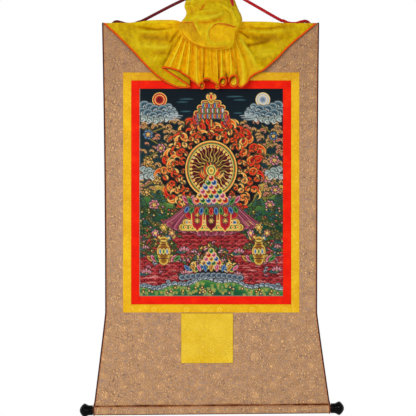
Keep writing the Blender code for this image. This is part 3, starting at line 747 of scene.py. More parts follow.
def wrapped_shade(x, back, drop):
    """Painted shade in the uneven crease above the roller, softly below it, and under the roller."""
    below = drop - CREASE_DROP
    uneven = 2.3 * MM + 0.7 * MM * np.sin(x / (31 * MM)) + 0.5 * MM * np.sin(x / (9 * MM) + 2)
    crease = 0.82 * bell(np.abs(below), uneven)
    soft = 0.34 * bell(below, 4.5 * MM) * (below > 0)
    in_front = back < CREASE_DEEP + 0.1 * MM
    under = held((drop - ROLLER_DROP - 0.66 * SLEEVE_RADIUS) / (0.24 * SLEEVE_RADIUS))
    return np.maximum(np.maximum(crease, soft) * in_front, 0.95 * under**1.4)


def wrapped_piece(name, section, edges, shares, finishes, crown=0.0, inner=None, lift=0.0):
    """Cloth that follows a section in depth and keeps the scroll's outline across, between the two edges for
    its half width. It is set out from the section's middle by half the solid's thickness, and raised by crown
    in its middle across."""
    back, drop = section[:, :1], section[:, 1:]
    low, high = edges(half_width(drop))
    x = low + (high - low) * shares[None, :] + sway(drop)
    on_face = held(1 - np.abs(back) / (0.5 * MM))
    y = back - (bow(x, drop) + pucker(x, drop)) * on_face
    middle = joined(x + CENTRE_LINE, y, height(x, drop))
    raised = crown * (1 - (2 * shares - 1) ** 2)[None, :, None]
    nearest = (high - low) * np.minimum(shares, 1 - shares)[None, :]
    dip = seam_dip(nearest)[..., None] if crown == 0 else 0.0
    front = middle + facing(middle) * (CLOTH / 2 + lift + raised - dip)
    lay = joined(x, -run_length(section)[:, None], 0.0 if inner is None else inner(shares)[None, :])
    shade = wrapped_shade(x, back, drop)
    if crown == 0:
        shade = np.maximum(shade, 0.3 * bell(nearest, 0.8 * MM))
    high = painted_top_shade(drop) + 0 * x
    return cloth(f"{name}_cloth", front, BROCADE_THICK, finishes, lay=lay, shade=shade, high=high)


BROCADE_STEP = 7 * MM
HEADING_FLAT = 0.178  # flat heights with sleeve and hem
SKIRT_FLAT = 0.298
BINDING_FLAT = (0.01, 1.13)
BINDING_AREA = 0.0054  # of what is seen


def brocade_pieces(front, back):
    """Heading, skirt and the two side panels."""
    inset = BINDING - SEAM_LAP
    finishes = [front, back]
    for name, section, flat_height, rod in (
        ("heading_panel", heading_section(14), HEADING_FLAT, "top_batten"),
        ("skirt_panel", skirt_section(30), SKIRT_FLAT, "roller"),
    ):
        widest = float(half_width(section[:, 1]).max() - inset)
        shares = spaced(-widest, widest, BROCADE_STEP) / (2 * widest) + 0.5
        made = wrapped_piece(name, section, lambda half: (inset - half, half - inset), shares, finishes)
        dress(made, name, "brocade", (2 * widest, flat_height), rests_on=[rod])
    edge = BINDING + GAP / 2
    for name, left, right in (
        ("side_panel_left", lambda drop: sway(drop) + edge - half_width(drop), -YELLOW_HALF),
        ("side_panel_right", YELLOW_HALF, lambda drop: sway(drop) + half_width(drop) - edge),
    ):
        rest = (finishes, BROCADE_THICK, BROCADE_STEP, "brocade")
        flat_piece(name, left, right, YELLOW_TOP, YELLOW_FOOT, *rest)


def frame_strips(yellow, red, back):
    """Yellow and red strips; the upright ones run the full height, the level ones lie between them."""
    for colour, finish, inner, top, foot in (
        ("yellow", yellow, RED_HALF, YELLOW_TOP, YELLOW_FOOT),
        ("red", red, PICTURE_WIDTH / 2, RED_TOP, RED_FOOT),
    ):
        outer = inner + STRIP
        for name, *edges in (
            ("left", -outer, -inner, top, foot),
            ("right", inner, outer, top, foot),
            ("top", -inner, inner, top, top + STRIP),
            ("bottom", -inner, inner, foot - STRIP, foot),
        ):
            flat_piece(f"{colour}_{name}", *edges, [finish, back], SATIN_THICK, 5 * MM, f"{colour}_satin")


def door_piece(finish, back):
    """A yellow patch laid on the skirt's face, its edges turned under and stitched down."""
    drops = spaced(YELLOW_FOOT + 1 * MM, YELLOW_FOOT + DOOR_HEIGHT, 4 * MM)
    widths = spaced(-DOOR_WIDTH / 2, DOOR_WIDTH / 2, 4 * MM)
    x, drop = np.meshgrid(DOOR_CENTRE + widths, drops)
    nearest = np.minimum(np.minimum(x - x[:, :1], x[:, -1:] - x), drops[-1] - drop)
    front, lay = hung(x, drop, seam_dip(nearest) * 1.2, CLOTH / 2 + 2 * GAP + 1.2 * MM)
    shade = 0.5 * np.maximum(bell(nearest, 0.8 * MM), bell(drop - drops[0], 1.6 * MM))
    made = cloth("door_patch", front, 1.1 * MM, [finish, back], lay=lay, shade=shade)
    dress(made, "door_panel", "yellow_brocade", (DOOR_WIDTH, DOOR_HEIGHT), rests_on=["skirt_panel"])


def bindings(finish):
    """One dark strip down each side, turned over the heading and round the roller with the cloth."""
    face = [(0, drop) for drop in np.linspace(YELLOW_TOP + 5 * MM, YELLOW_FOOT - 5 * MM, 70)]
    section = np.concatenate([heading_section(14), face, skirt_section(40)])
    shape = {"crown": 0.6 * MM, "lift": 0.3 * MM}
    for name, edges, inner in (
        ("binding_left", lambda half: (-half, BINDING_FACE - half), lambda share: share),
        ("binding_right", lambda half: (half - BINDING_FACE, half), lambda share: 1 - share),
    ):
        made = wrapped_piece(name, section, edges, np.linspace(0, 1, 9), [finish], inner=inner, **shape)
        rods = ["top_batten", "roller"]
        dress(made, name, "maroon_binding", BINDING_FLAT, area=BINDING_AREA, rests_on=rods)


def crease_stitches(finish):
    """Running stitches along the crease above the roller, short tubes lying in its groove."""
    pitch, stitch, thick = 5.2 * MM, 3.4 * MM, 0.42 * MM
    centres = np.arange(-FOOT_HALF + 8 * MM, FOOT_HALF - 8 * MM, pitch)[:, None, None]
    share = np.linspace(-0.5, 0.5, 6)[None, :, None]
    angle = round_angles(6)
    radius = thick * np.sqrt(np.clip(1 - (2 * share) ** 4, 0.05, 1))
    x = centres + stitch * share + SKIRT_SWAY + 0 * angle
    y = 0.9 * MM - CLOTH / 2 + radius * np.cos(angle)
    z = height(x, STITCH_LINE + 4.2 * MM) + radius * np.sin(angle)
    index = np.arange(x.size).reshape(x.shape)
    caps = np.concatenate([index[:, 0], index[:, -1, ::-1]])
    blocks = [(wall_of(index), 0), (caps, 0)]
    make_piece("crease_stitches", joined(x + CENTRE_LINE, y, z), blocks, [finish])


# ---- the cord
CORD_TURN = table(
    "out back drop",
    (165, 3.8, -9.0), (176, 0.3, -5.6), (187, -3.4, -2.2), (198, -5.4, -0.2), (208, -5.3, -0.9),
    (216, -2.7, -3.6), (223, 1.9, -5.9), (230, 7.4, -6.3), (236.5, 12.1, -3.4), (241.5, 14.6, 2.2),
    (245, 15.0, 9.5), (247, 14.7, 17.0),
)
CORD_PLANE = 4.3 * MM


CORD_BEND = table("out height", (-34, -16), (-16, -6), (-5, -0.8), (5, -0.8), (16, -6.4), (34, -17))


def cord_route():
    """Points of the hanging cord from its left end over the bend to its right end, scroll coordinates."""
    bend = -CENTRE_LINE
    out, back, drop = (np.array(CORD_TURN, float) * MM).T
    right = joined(out, back, TOP_EDGE - drop)
    left = right * [-1, 1, 1]
    sunk = held(np.minimum((out - 171 * MM) / (16 * MM), (240 * MM - out) / (16 * MM)))
    left[:, 2] -= 4.5 * MM * sunk + 2.5 * MM * held((190 * MM - out) / (15 * MM))
    right[:, 2] -= 2.8 * MM * sunk
    crown = [(bend + out * MM, CORD_PLANE, height * MM) for out, height in CORD_BEND]
    halfway = [(left[0] + crown[0]) / 2 + (0, 0, 1.5 * MM), (right[0] + crown[-1]) / 2]
    return np.concatenate([left[::-1], [halfway[0]], crown, [halfway[1]], right])


def hanging_cord(finish):
    """A cord of three twisted satin strands: the tube's radius swells where a strand lies."""
    path = even_points(curve_through(cord_route(), 12), 640) + [CENTRE_LINE, 0, 0]
    around, strands, lay_length = 24, 3, 17 * MM
    turn = (round_angles(around) + run_length(path)[:, None] * (2 * np.pi / lay_length)) * strands
    radius = CORD_RADIUS * (0.88 + 0.17 * np.abs(np.cos(turn / 2)) ** 0.8)
    radius *= np.minimum(1, np.linspace(0.6, 160, len(path)))[:, None]
    made = tube("twisted_cord", path, radius, around, finish)
    dress(made, "hanging_cord", "cord_red")


# ---- the veil
# The fan: one row for each ridge or trough, from the left corner round the hem to the right corner, in
# millimetres. It runs from the gather (root) to the hem. mid is half-way, and arch lifts the row's middle.
FAN = table(
    "root_x root_drop root_depth mid_depth hem_x hem_drop hem_depth arch",
    (-66, 4, 22.6, 14, -261, 1.5, 3.0, 8), (-66, 7, 23.4, 12, -252, 10, 3.5, 4),
    (-66, 10, 22.6, 8.5, -241, 20, 4.0, 0), (-66, 12.5, 23.4, 12, -227, 33, 5.0, 0),
    (-66, 15, 22.6, 14, -209, 51, 5.5, 0), (-66, 17.5, 23.4, 13, -190, 70, 7.0, 0),
    (-66, 20, 22.4, 9, -172, 90, 6.0, 0), (-66, 22.5, 22.6, 12.5, -155, 108, 8.5, 0),
    (-66, 25, 20.0, 8, -134, 128, 7.0, 0), (-65, 27.5, 17.0, 7, -108, 146, 6.0, 0),
    (-61, 29, 15.5, 5, -82, 157, 4.0, 0), (-56, 29.5, 15.0, 4.5, -58, 158, 4.0, 0),
    (-54, 29, 19.0, 9.5, -54, 154, 9.0, 0), (-60, 28, 21.0, 11, -84, 134, 11.5, 0),
    (-65, 26, 23.5, 13, -114, 114, 13.5, 0), (-67, 25, 27.0, 16, -116, 111, 18.0, 0),
    (-63, 25, 29.0, 20, -102, 112, 20.0, 0), (-59, 25, 28.0, 15, -92, 115, 16.0, 0),
    (-56, 25, 29.0, 21, -81, 118, 24.0, 0), (-53, 26, 27.5, 15, -70, 125, 16.0, 0),
    (-49, 27, 28.5, 21, -59, 132, 25.0, 0), (-44, 28, 27.0, 14, -48, 141, 14.0, 0),
    (-37, 29, 28.5, 20, -37, 151, 26.0, 0), (-30, 30, 27.0, 13, -29, 157, 14.0, 0),
    (-23, 31, 28.0, 20, -20, 160, 26.0, 0), (-17, 31, 26.5, 12, -15, 145, 11.0, 0),
    (-10, 31, 28.0, 18, -8, 140, 23.0, 0), (0, 31, 26.5, 14, 4, 146, 14.0, 0),
    (10, 31, 28.0, 18, 16, 155, 22.0, 0), (16, 31, 26.5, 12, 21, 147, 9.0, 0),
    (22, 31, 28.0, 20, 28, 137, 26.0, 0), (28, 31, 26.5, 12, 36, 149, 8.0, 0),
    (33, 30, 27.0, 16, 45, 143, 18.0, 0), (38, 30, 28.0, 21, 54, 133, 28.0, 0),
    (42, 29, 27.5, 13, 63, 147, 13.0, 0), (45, 28, 29.0, 18, 71, 157, 22.0, 0),
    (47, 27, 28.0, 12, 82, 143, 10.0, 0), (49, 26, 29.5, 16, 96, 132, 19.0, 0),
    (50, 24.5, 28.4, 10, 110, 123, 8.0, 0), (51, 22.5, 29.2, 13, 126, 117, 11.0, 0),
    (51, 20.5, 28.4, 8.5, 145, 101, 6.5, 0), (51, 18.5, 28.8, 12.5, 165, 83, 7.5, 0),
    (52, 16.5, 28.0, 9, 181, 66, 5.0, 0), (52, 14.5, 28.4, 13.5, 200, 48, 6.0, 0),
    (52, 12.5, 27.6, 9, 218, 33, 4.0, 0), (53, 10.5, 27.6, 13, 236, 18, 4.0, 0),
    (53, 8, 27.0, 13, 247, 9, 3.5, 2), (53, 4, 26.4, 14, 256, 2.0, 3.5, 4),
)
TOP_BULGE = table(
    "way share",
    (0, 0), (0.035, 0.45), (0.12, 0.96), (0.28, 1), (0.43, 0.86), (0.55, 0.45), (0.66, 0.15), (0.85, 0.1),
    (1, 0),
)
FAN_COLUMNS = 10  # between two rows of the table
FAN_ROWS = 73
PLEATS = (13, 39)  # the rows of the table that are the narrow pleats

# The pulled-up middle: level outlines of the bunch from its tuft down to the sagging U, in millimetres.
BUNCH = table(
    "drop left right back front gather",
    (-89, -11, 37, 4, 26, 0.9), (-84, -7, 33, 5, 23, 0.7), (-74, -7, 33, 5, 23, 0.7),
    (-68, -16, 39, 4, 28, 1.0), (-61, -43, 50, 3, 33, 1.6), (-52, -59, 56, 2, 38, 1.8),
    (-37, -64, 61, 2, 44, 1.6), (-26, -60, 66, 2, 47, 1.4), (-15, -61, 71, 4, 49, 1.2),
    (0, -71, 74, 8, 50, 1.0), (14, -79, 68, 14, 50, 0.8), (29, -75, 60, 19, 48, 0.5),
    (43, -65, 57, 27, 45, 0.0), (57, -44, 54, 29, 41, 0.0), (65, -20, 47, 30, 38, 0.0),
    (69, 4, 31, 31, 35, 0.0),
)
BUNCH_STEPS = 8
BUNCH_AROUND = 224
BUNCH_GATHERS = 11

# Creases: how far each rises towards the viewer, how soft it is on its left and right side (seen
# from its first point to its last), and its line as (out, drop), all in millimetres.
BUNCH_CREASES = table(
    "rise left right line",
    (3.4, 1.4, 4.5, [(80, 20), (60, 15), (46, 11), (31, 9), (16, 7), (1, 15), (-7, 29), (-5, 43),
      (4, 51), (18, 53)]),
    (-1.0, 4.0, 4.0, [(40, 44), (20, 45), (6, 39), (3, 28), (10, 17)]),
    (1.6, 3.0, 5.0, [(50, 54), (30, 56), (6, 57), (-12, 52)]),
    (2.6, 5.0, 1.6, [(-74, 2), (-57, 3), (-44, 4)]), (4.2, 7.0, 1.6, [(-44, 4), (-38, 16), (-30, 30)]),
    (1.6, 3.0, 3.0, [(-24, 12), (-19, 26), (-22, 42)]),
    (3.0, 7.0, 4.0, [(-66, -6), (-40, -7), (-14, -6), (8, -10), (24, -16), (44, -30)]),
    (1.6, 2.0, 2.0, [(-38, -3), (-16, -3), (4, -8), (20, -15)]),
    (-4.2, 3.0, 4.0, [(-46, 2), (-22, 4.5), (0, 2.5), (22, -5), (46, -18)]),
    (2.2, 3.0, 3.0, [(-30, -22), (-6, -24), (20, -28)]),
    (-2.0, 3.0, 3.0, [(-34, -17), (-8, -17), (18, -20), (38, -30)]),
    (-3.6, 2.6, 2.6, [(-29, -20), (-24, -28), (-17, -38), (-9, -48)]),
    (-2.6, 8.0, 8.0, [(-52, -12), (-40, -26), (-26, -44)]),
    (3.0, 3.0, 2.0, [(-34, -49), (-16, -53), (7, -53), (41, -49)]),
    (-2.4, 2.0, 4.0, [(-30, -45), (4, -48), (38, -44)]), (2.2, 2.0, 3.0, [(21, -40), (36, -34), (45, -24)]),
    (-2.0, 2.0, 2.5, [(20, -36), (34, -29), (42, -19)]),
    (2.4, 3.0, 2.0, [(39, -38), (51, -23), (60, -3), (62, 12)]),
    (-2.2, 2.0, 2.0, [(36, -30), (46, -16), (53, 2)]), (2.2, 3.0, 3.0, [(52, -48), (63, -28), (70, -6)]),
    (-3.0, 4.0, 5.0, [(-60, -38), (-50, -31), (-46, -18), (-54, -5)]),
    (4.4, 2.8, 2.5, [(-70, -48), (-58, -47), (-46, -48), (-34, -52)]),
    (4.0, 2.4, 2.4, [(-70, -36), (-60, -36), (-50, -36), (-40, -38)]),
    (-2.6, 2.0, 2.0, [(-68, -42), (-54, -41), (-42, -43)]),
    (2.4, 2.6, 2.6, [(-68, 34), (-47, 51), (-18, 62), (17, 65), (41, 61), (55, 56)]),
)
WING_CREASES = table(
    "rise left right line",
    (2.2, 3.0, 3.0, [(70, 8), (100, 3), (135, 1), (170, 5)]),
    (-3.4, 2.2, 4.0, [(58, 4), (84, 11), (112, 15), (140, 15), (172, 10), (210, 6)]),
    (2.8, 4.0, 3.5, [(62, 14), (92, 21), (130, 24), (170, 22), (214, 14)]),
    (-3.4, 9.0, 7.0, [(76, 28), (108, 37), (153, 40), (206, 30)]),
    (-4.6, 2.4, 3.0, [(58, 17), (70, 24), (84, 32), (96, 44)]),
    (-4.0, 5.0, 3.6, [(78, 56), (96, 56), (122, 50), (150, 42)]),
    (4.2, 3.5, 6.0, [(66, 28), (80, 52), (100, 84), (116, 118)]),
    (2.6, 12.0, 10.0, [(98, 70), (128, 77), (162, 70), (196, 46)]),
    (-1.8, 1.6, 2.6, [(174, 26), (177, 42), (178, 54), (184, 68)]),
    (2.0, 2.6, 2.0, [(168, 34), (171, 50), (172, 66)]), (-1.6, 3.0, 3.0, [(104, 96), (122, 98), (140, 88)]),
    (2.4, 3.0, 3.0, [(-76, 4), (-108, 0), (-150, 0), (-186, 5)]),
    (-2.0, 1.4, 1.8, [(-84, 10), (-96, 8), (-110, 2)]),
    (-3.4, 4.5, 2.4, [(-70, 6), (-92, 13), (-124, 17.5), (-150, 15), (-178, 10.5), (-216, 4)]),
    (2.8, 3.5, 4.0, [(-72, 10), (-96, 17), (-124, 22), (-156, 23), (-200, 17)]),
    (-3.4, 7.0, 9.0, [(-86, 30), (-112, 38), (-150, 38), (-192, 32)]),
    (-5.0, 3.4, 2.6, [(-70, 12), (-84, 28), (-94, 40), (-106, 56)]),
    (3.0, 5.0, 6.0, [(-94, 56), (-118, 61), (-150, 60), (-206, 52)]),
    (-2.6, 4.0, 5.0, [(-96, 74), (-116, 76), (-136, 76), (-160, 72)]),
    (-2.6, 3.0, 2.4, [(-88, 44), (-102, 76), (-112, 96), (-121, 110)]),
    (2.0, 4.0, 3.0, [(-124, 70), (-136, 88), (-140, 104)]),
    (2.0, 4.0, 4.0, [(-150, 80), (-170, 70), (-190, 58)]),
    (-1.6, 3.0, 3.0, [(-140, 96), (-160, 84), (-182, 66), (-212, 38)]),
)
# Parts of the silk that are doubled, and pockets under folds that lie in shade: deeper orange-yellow with
# painted shade on the right-hand side of a line, and how far it fades.
BUNCH_DOUBLED_AND_SHADED = table(
    "amber fade line",
    (0.25, 60, [(26, 48), (6, 50), (-5, 43), (-7, 29), (1, 15), (16, 7), (31, 9), (46, 11), (60, 15)]),
    (0.74, 34, [(-74, 2), (-57, 3), (-44, 4), (-38, 16), (-30, 30)]),
)
# Orange painted shade lines down the pleats: place in the fan's table, and how orange
PLEAT_SHADE_LINES = table(
    "place orange",
    (14.6, 0.25), (17.0, 0.4), (19.2, 0.3), (21.2, 0.35), (23.3, 0.45), (25.1, 0.3), (27, 0.35), (29.2, 0.3),
    (32.8, 0.3), (34.2, 0.7), (36, 0.35), (38, 0.3),
)
# Painted highlight lines along the pleats' ridges, as places in the fan's table
PLEAT_HIGHLIGHT_LINES = [13.6, 16, 18, 20, 22.2, 24.3, 28.2, 30.1, 31.8, 33.3, 35, 37, 38.6]


# Where the overlocked edge shows inside the bunch, as (out, drop) in millimetres.
CURL_HEM = [(2, 19), (6, 12), (15, 8.5), (31, 8.5), (46, 11.5), (60, 15.5)]
POCKET_HEM = [(-74, 3), (-58, 4), (-45, 5), (-40, 14), (-35, 24)]
# Orange lines on the bunch: the overlocked edge where it shows, and painted shade along creases and under the
# lip; how much, how wide, and the line as (out, drop) in millimetres
HEM_AND_SHADE_LINES = table(
    "much wide line",
    (0.8, 3.4, [(16, 9.5), (31, 11), (46, 13.5), (58, 17.5)]),
    (0.5, 3.0, [(-72, 5), (-58, 6), (-46, 7), (-40, 17), (-33, 29)]),
    (0.75, 5.0, [(-27, -23), (-22, -31), (-15, -41)]),
    (0.5, 3.4, [(-36, 4), (-18, 5), (0, 3), (14, -1), (28, -7)]),
    (0.45, 3.0, [(60, 18), (58, 38), (55, 58)]), (0.35, 3.0, [(-3, 20), (-5, 32), (-2, 42), (8, 47)]),
    (0.75, 3.6, [(-73, 22), (-65, 37), (-50, 51), (-29, 61), (-5, 65.5), (22, 66), (44, 62)]),
)


def line_distance(x, drop, line):
    """Distance from a smooth line, positive on its right-hand side, and how far along it, 0 to 1."""
    points = curve_through(np.array(line) * MM, 6)
    start, end = points[:-1], points[1:]
    run = end - start
    px, pd = x[..., None] - start[:, 0], drop[..., None] - start[:, 1]
    share = held((px * run[:, 0] + pd * run[:, 1]) / np.sum(run**2, axis=1))
    dx, dd = px - share * run[:, 0], pd - share * run[:, 1]
    away = np.sqrt(dx**2 + dd**2)
    nearest = np.argmin(away, axis=-1)[..., None]
    side = np.take_along_axis(run[:, 0] * dd - run[:, 1] * dx, nearest, axis=-1)[..., 0]
    near = np.take_along_axis(away, nearest, axis=-1)[..., 0] * np.where(side < 0, -1.0, 1.0)
    return near, (nearest + np.take_along_axis(share, nearest, axis=-1))[..., 0] / len(run)


def tapered(way, run_out=0.3):
    """1 along a line's middle, falling smoothly to 0 at both ends."""
    rise = held(np.minimum(way, 1 - way) / run_out)
    return rise * rise * (3 - 2 * rise)


def crease_rise(x, drop, creases):
    """How far the creases lift the silk: each by its rise, softly on both sides, tapered at its ends."""
    total = np.zeros_like(x)
    for crease in creases:
        away, way = line_distance(x, drop, crease.line)
        soft = np.where(away > 0, crease.right, crease.left) * MM
        total += crease.rise * MM * bell(away, soft) * tapered(way)
    return total


def doubled_and_shaded_share(x, drop):
    """How much deeper colour and painted shade the doubled, shaded parts get: all along their line's right
    side, fading inwards.
    """
    total = np.zeros_like(x)
    for part in BUNCH_DOUBLED_AND_SHADED:
        inside = line_distance(x, drop, part.line)[0] / MM
        total = np.maximum(total, part.amber * held(inside / 1.5) * bell(inside, part.fade))
    return total


def soft_waves(x, drop, seed, size):
    """Sum of plane waves of about this size, in directions drawn from a seeded generator; about -1 to 1."""
    draw = np.random.default_rng(seed)
    count = 9
    total = np.zeros_like(x)
    for turn, phase, stretch in draw.uniform(0, 1, (count, 3)):
        angle = 2 * np.pi * turn
        length = size * (0.6 + 0.9 * stretch)
        total += np.sin((x * np.cos(angle) + drop * np.sin(angle)) * 2 * np.pi / length + 2 * np.pi * phase)
    return total / math.sqrt(count)


# The ruffled hem, walked from left to right: place in the fan's table, out and drop, and depth, all in
# millimetres. Each ruffle's near lip slants down to the right, rolls under and runs back behind it.
HEM_WALK = table(
    "place out drop depth",
    (20.8, -50.5, 138.5, 20), (21.6, -42, 146, 23), (22.2, -33, 154, 24), (22.55, -28, 157, 23),
    (22.8, -27.5, 151, 24), (23.1, -23.5, 148, 22), (23.4, -18.5, 149.5, 19), (23.7, -17, 156, 16),
    (24.0, -20, 162, 14), (24.3, -24.5, 160, 12), (24.6, -23, 149, 8), (24.9, -19, 140, 8),
    (25.2, -18.5, 142, 13), (25.5, -16, 138.8, 20), (25.9, -10, 138, 25), (26.5, -2, 142, 26),
    (27.2, 7.5, 148.5, 26), (27.9, 15.5, 155, 24), (28.25, 19, 160.5, 21), (28.6, 14, 162, 17),
    (28.9, 11, 156, 12), (29.2, 15, 146, 9), (29.5, 20, 149, 13), (29.8, 20.3, 143.5, 20),
    (30.1, 23, 138.3, 25), (30.4, 28, 136.2, 27), (30.7, 33, 138, 25), (31.0, 35.2, 144, 20),
    (31.25, 34.2, 151, 19), (31.5, 29, 155, 18), (31.75, 23.5, 151, 15), (32.0, 26, 142, 6),
    (32.3, 33, 134, 6), (32.6, 40.5, 136, 9), (32.9, 43, 146, 15), (33.2, 44.2, 138.5, 21),
    (33.5, 48, 133.3, 26), (33.8, 54, 131.3, 28), (34.1, 60, 133, 26), (34.4, 64, 139, 22),
    (34.65, 64.5, 148, 20), (34.9, 61, 154.5, 18), (35.15, 53, 157, 16), (35.4, 46.5, 152, 14),
    (35.65, 47, 141, 10), (35.9, 55.5, 141.5, 12), (36.2, 63, 149, 15), (36.5, 68, 157, 18),
    (36.9, 75, 157.5, 19), (37.3, 84, 151, 18), (37.7, 90, 143.5, 14), (38.0, 91.5, 136, 10),
    (38.4, 99, 130.5, 9),
)


def fan_surface():
    """The veil's wings and pleats: rows from the gather to the hem, bent in depth, creased and crinkled."""
    fold = curve_through(FAN, FAN_COLUMNS) * MM
    root_x, root_drop, root_depth, mid_depth, hem_x, hem_drop, hem_depth, arch = fold.T[:, None, :]
    t = np.linspace(0, 1, FAN_ROWS)[:, None]
    swell = np.sin(np.pi * t)
    bulge = curve_through(TOP_BULGE, 6)
    place = np.arange(fold.shape[0])[None, :] / FAN_COLUMNS
    x = root_x + (hem_x - root_x) * t
    drop = root_drop + (hem_drop - root_drop) * t - arch * np.interp(t, bulge[:, 0], bulge[:, 1])
    depth = root_depth * 2 * (t - 0.5) * (t - 1) + mid_depth * 4 * t * (1 - t) + hem_depth * 2 * t * (t - 0.5)

    # Towards the hem the pleats run into the ruffles
    pleated = held(np.minimum(place - PLEATS[0], PLEATS[1] - place) / 2)
    walk = curve_through(HEM_WALK, 4)
    ruffle_x, ruffle_drop, ruffle_depth = (np.interp(place, walk[:, 0], column) * MM for column in walk.T[1:])
    late = t**3.5 * held(np.minimum(place - 20.6, 38.6 - place) / 0.8)
    x = x + late * (ruffle_x - hem_x)
    drop = drop + late * (ruffle_drop - hem_drop)
    depth = depth + late * (ruffle_depth - hem_depth)
    behind = late * held((17 * MM - ruffle_depth) / (8 * MM))
    flutter = t**3 * pleated
    x = x + 0.6 * MM * flutter * np.sin(place * 4.1 + 1.0)
    drop = drop + 0.5 * MM * flutter * np.sin(place * 5.7)
    minor = np.sin(2 * np.pi * place * 1.5 + 0.8 * np.sin(place)) * pleated
    depth = depth + 0.9 * MM * minor * swell**0.7
    relief = crease_rise(x, drop, WING_CREASES) * (1 - pleated) * swell**0.8
    depth = depth + relief
    depth = depth + 0.5 * MM * soft_waves(x, drop, 3, 26 * MM) * swell**0.5
    depth = depth + 0.22 * MM * soft_waves(x, drop, 5, 9 * MM) * swell**0.5
    y = -bow(x, drop) - CLOTH / 2 - depth - SILK_THICK / 2
    front = joined(x + CENTRE_LINE, y, TOP_EDGE - drop)

    # The silk's colour from its shape: painted shade and painted highlights follow its folds
    valley = valley_share(depth, 12)
    # Painted highlight lines along the pleats' ridges
    ridge = bell(np.min(np.abs(place[..., None] - PLEAT_HIGHLIGHT_LINES), axis=-1), 0.2)
    ridge = ridge * pleated * held((t - 0.06) / 0.2) * (1 - behind)
    # Deeper colour: the pleats' own deeper tone, and painted shade in valleys, troughs, near the gather and
    # inside the ruffles
    wing = held(0.05 + 0.14 * valley + 0.5 * (1 - t) ** 2 - relief / (12 * MM))
    amber = wing * (1 - pleated) + pleated * (0.42 + 0.24 * valley + 0.1 * (1 - t)) + 0.3 * behind
    # Painted shade in troughs and valleys
    dusk = held(-relief / (3.6 * MM)) * (1 - pleated) * 0.95 + valley * (0.16 - 0.1 * pleated)
    # Orange painted shade lines down the pleats and inside the ruffles
    orange = np.array(PLEAT_SHADE_LINES)
    rust = np.sum(orange[:, 1] * bell(place[..., None] - orange[:, 0], 0.22), axis=-1)
    rust = rust * pleated * held(t / 0.25) * (1 - 0.6 * t) * (1 - behind) + 0.15 * behind
    steps = np.linalg.norm(np.diff(front, axis=0, append=front[-1:]), axis=2)
    from_hem = np.cumsum(steps[::-1], axis=0)[::-1]
    # The overlocked edge's own orange along the hem
    rust = np.maximum(rust, 0.7 * held(1.2 - from_hem / (3 * MM)))
    # Painted highlights on raised creases and pleat ridges, and painted light inside the ruffles
    glow = held(relief / (4 * MM)) * (1 - pleated) * 0.7 + 0.8 * ridge + 0.4 * behind
    return front, {"lay": joined(x, -drop, 0.0), "amber": amber, "dusk": dusk, "glow": glow, "rust": rust}


def bunch_surface():
    """The veil's pulled-up middle: level loops, flattened ovals with gathers, creased in front."""
    level = curve_through(BUNCH, BUNCH_STEPS) * MM
    drop, left, right, back, front, gather = level.T[:, :, None]
    angle = np.pi - round_angles(BUNCH_AROUND)[None, :]
    across, forward = np.cos(angle), np.sin(angle)
    oval = (across**4 + forward**4) ** -0.25 * 0.45 + 0.55
    fine = 0.45 * np.cos(23 * angle + 1.7 + drop / (11 * MM)) + 0.25 * np.cos(37 * angle - drop / (9 * MM))
    pleat = 1 + gather / (right - left) * 2 * (np.cos(BUNCH_GATHERS * angle + 0.4) + fine)
    x = (left + right) / 2 + (right - left) / 2 * across * oval * pleat
    depth = (back + front) / 2 + (front - back) / 2 * forward * oval * pleat
    drop = drop * np.ones_like(x)
    calm = held((68 * MM - drop) / (12 * MM)) * held((drop + 72 * MM) / (10 * MM))
    relief = crease_rise(x, drop, BUNCH_CREASES) * held(forward * 2.5) ** 2 * calm
    waves = 0.7 * MM * soft_waves(x, drop, 11, 24 * MM) + 0.3 * MM * soft_waves(x, drop, 12, 9 * MM)
    depth = depth + relief + waves * forward * calm
    return x, drop, forward, relief, joined(x + CENTRE_LINE, -CLOTH / 2 - depth, TOP_EDGE - drop)


def valley_share(depth, reach):
    """How deep a point lies beside its neighbours in the row: 0 on a ridge, 1 in a narrow valley."""
    kernel = np.hanning(2 * reach + 3)[1:-1]
    kernel /= kernel.sum()
    wide = np.pad(depth, ((0, 0), (reach, reach)), mode="edge")
    average = np.apply_along_axis(lambda row: np.convolve(row, kernel, "valid"), 1, wide)
    return held((average - depth) / (3.5 * MM) * 0.5 + 0.35)


def hem_and_shade_line_share(x, drop):
    """How orange the silk is along these lines: the overlocked edge's own orange, and painted shade."""
    total = np.zeros_like(x)
    for much, wide, line in HEM_AND_SHADE_LINES:
        away, way = line_distance(x, drop, line)
        total += much * bell(away, wide * MM / 2) * tapered(way, 0.15)
    return held(total)


def veil_fan(silk):
    x, drop, marks, front = fan_surface()
    lay = joined(x, -drop, np.zeros_like(x))
    return front, cloth("veil_fan", front, SILK_THICK, [silk], lay=lay, **marks)


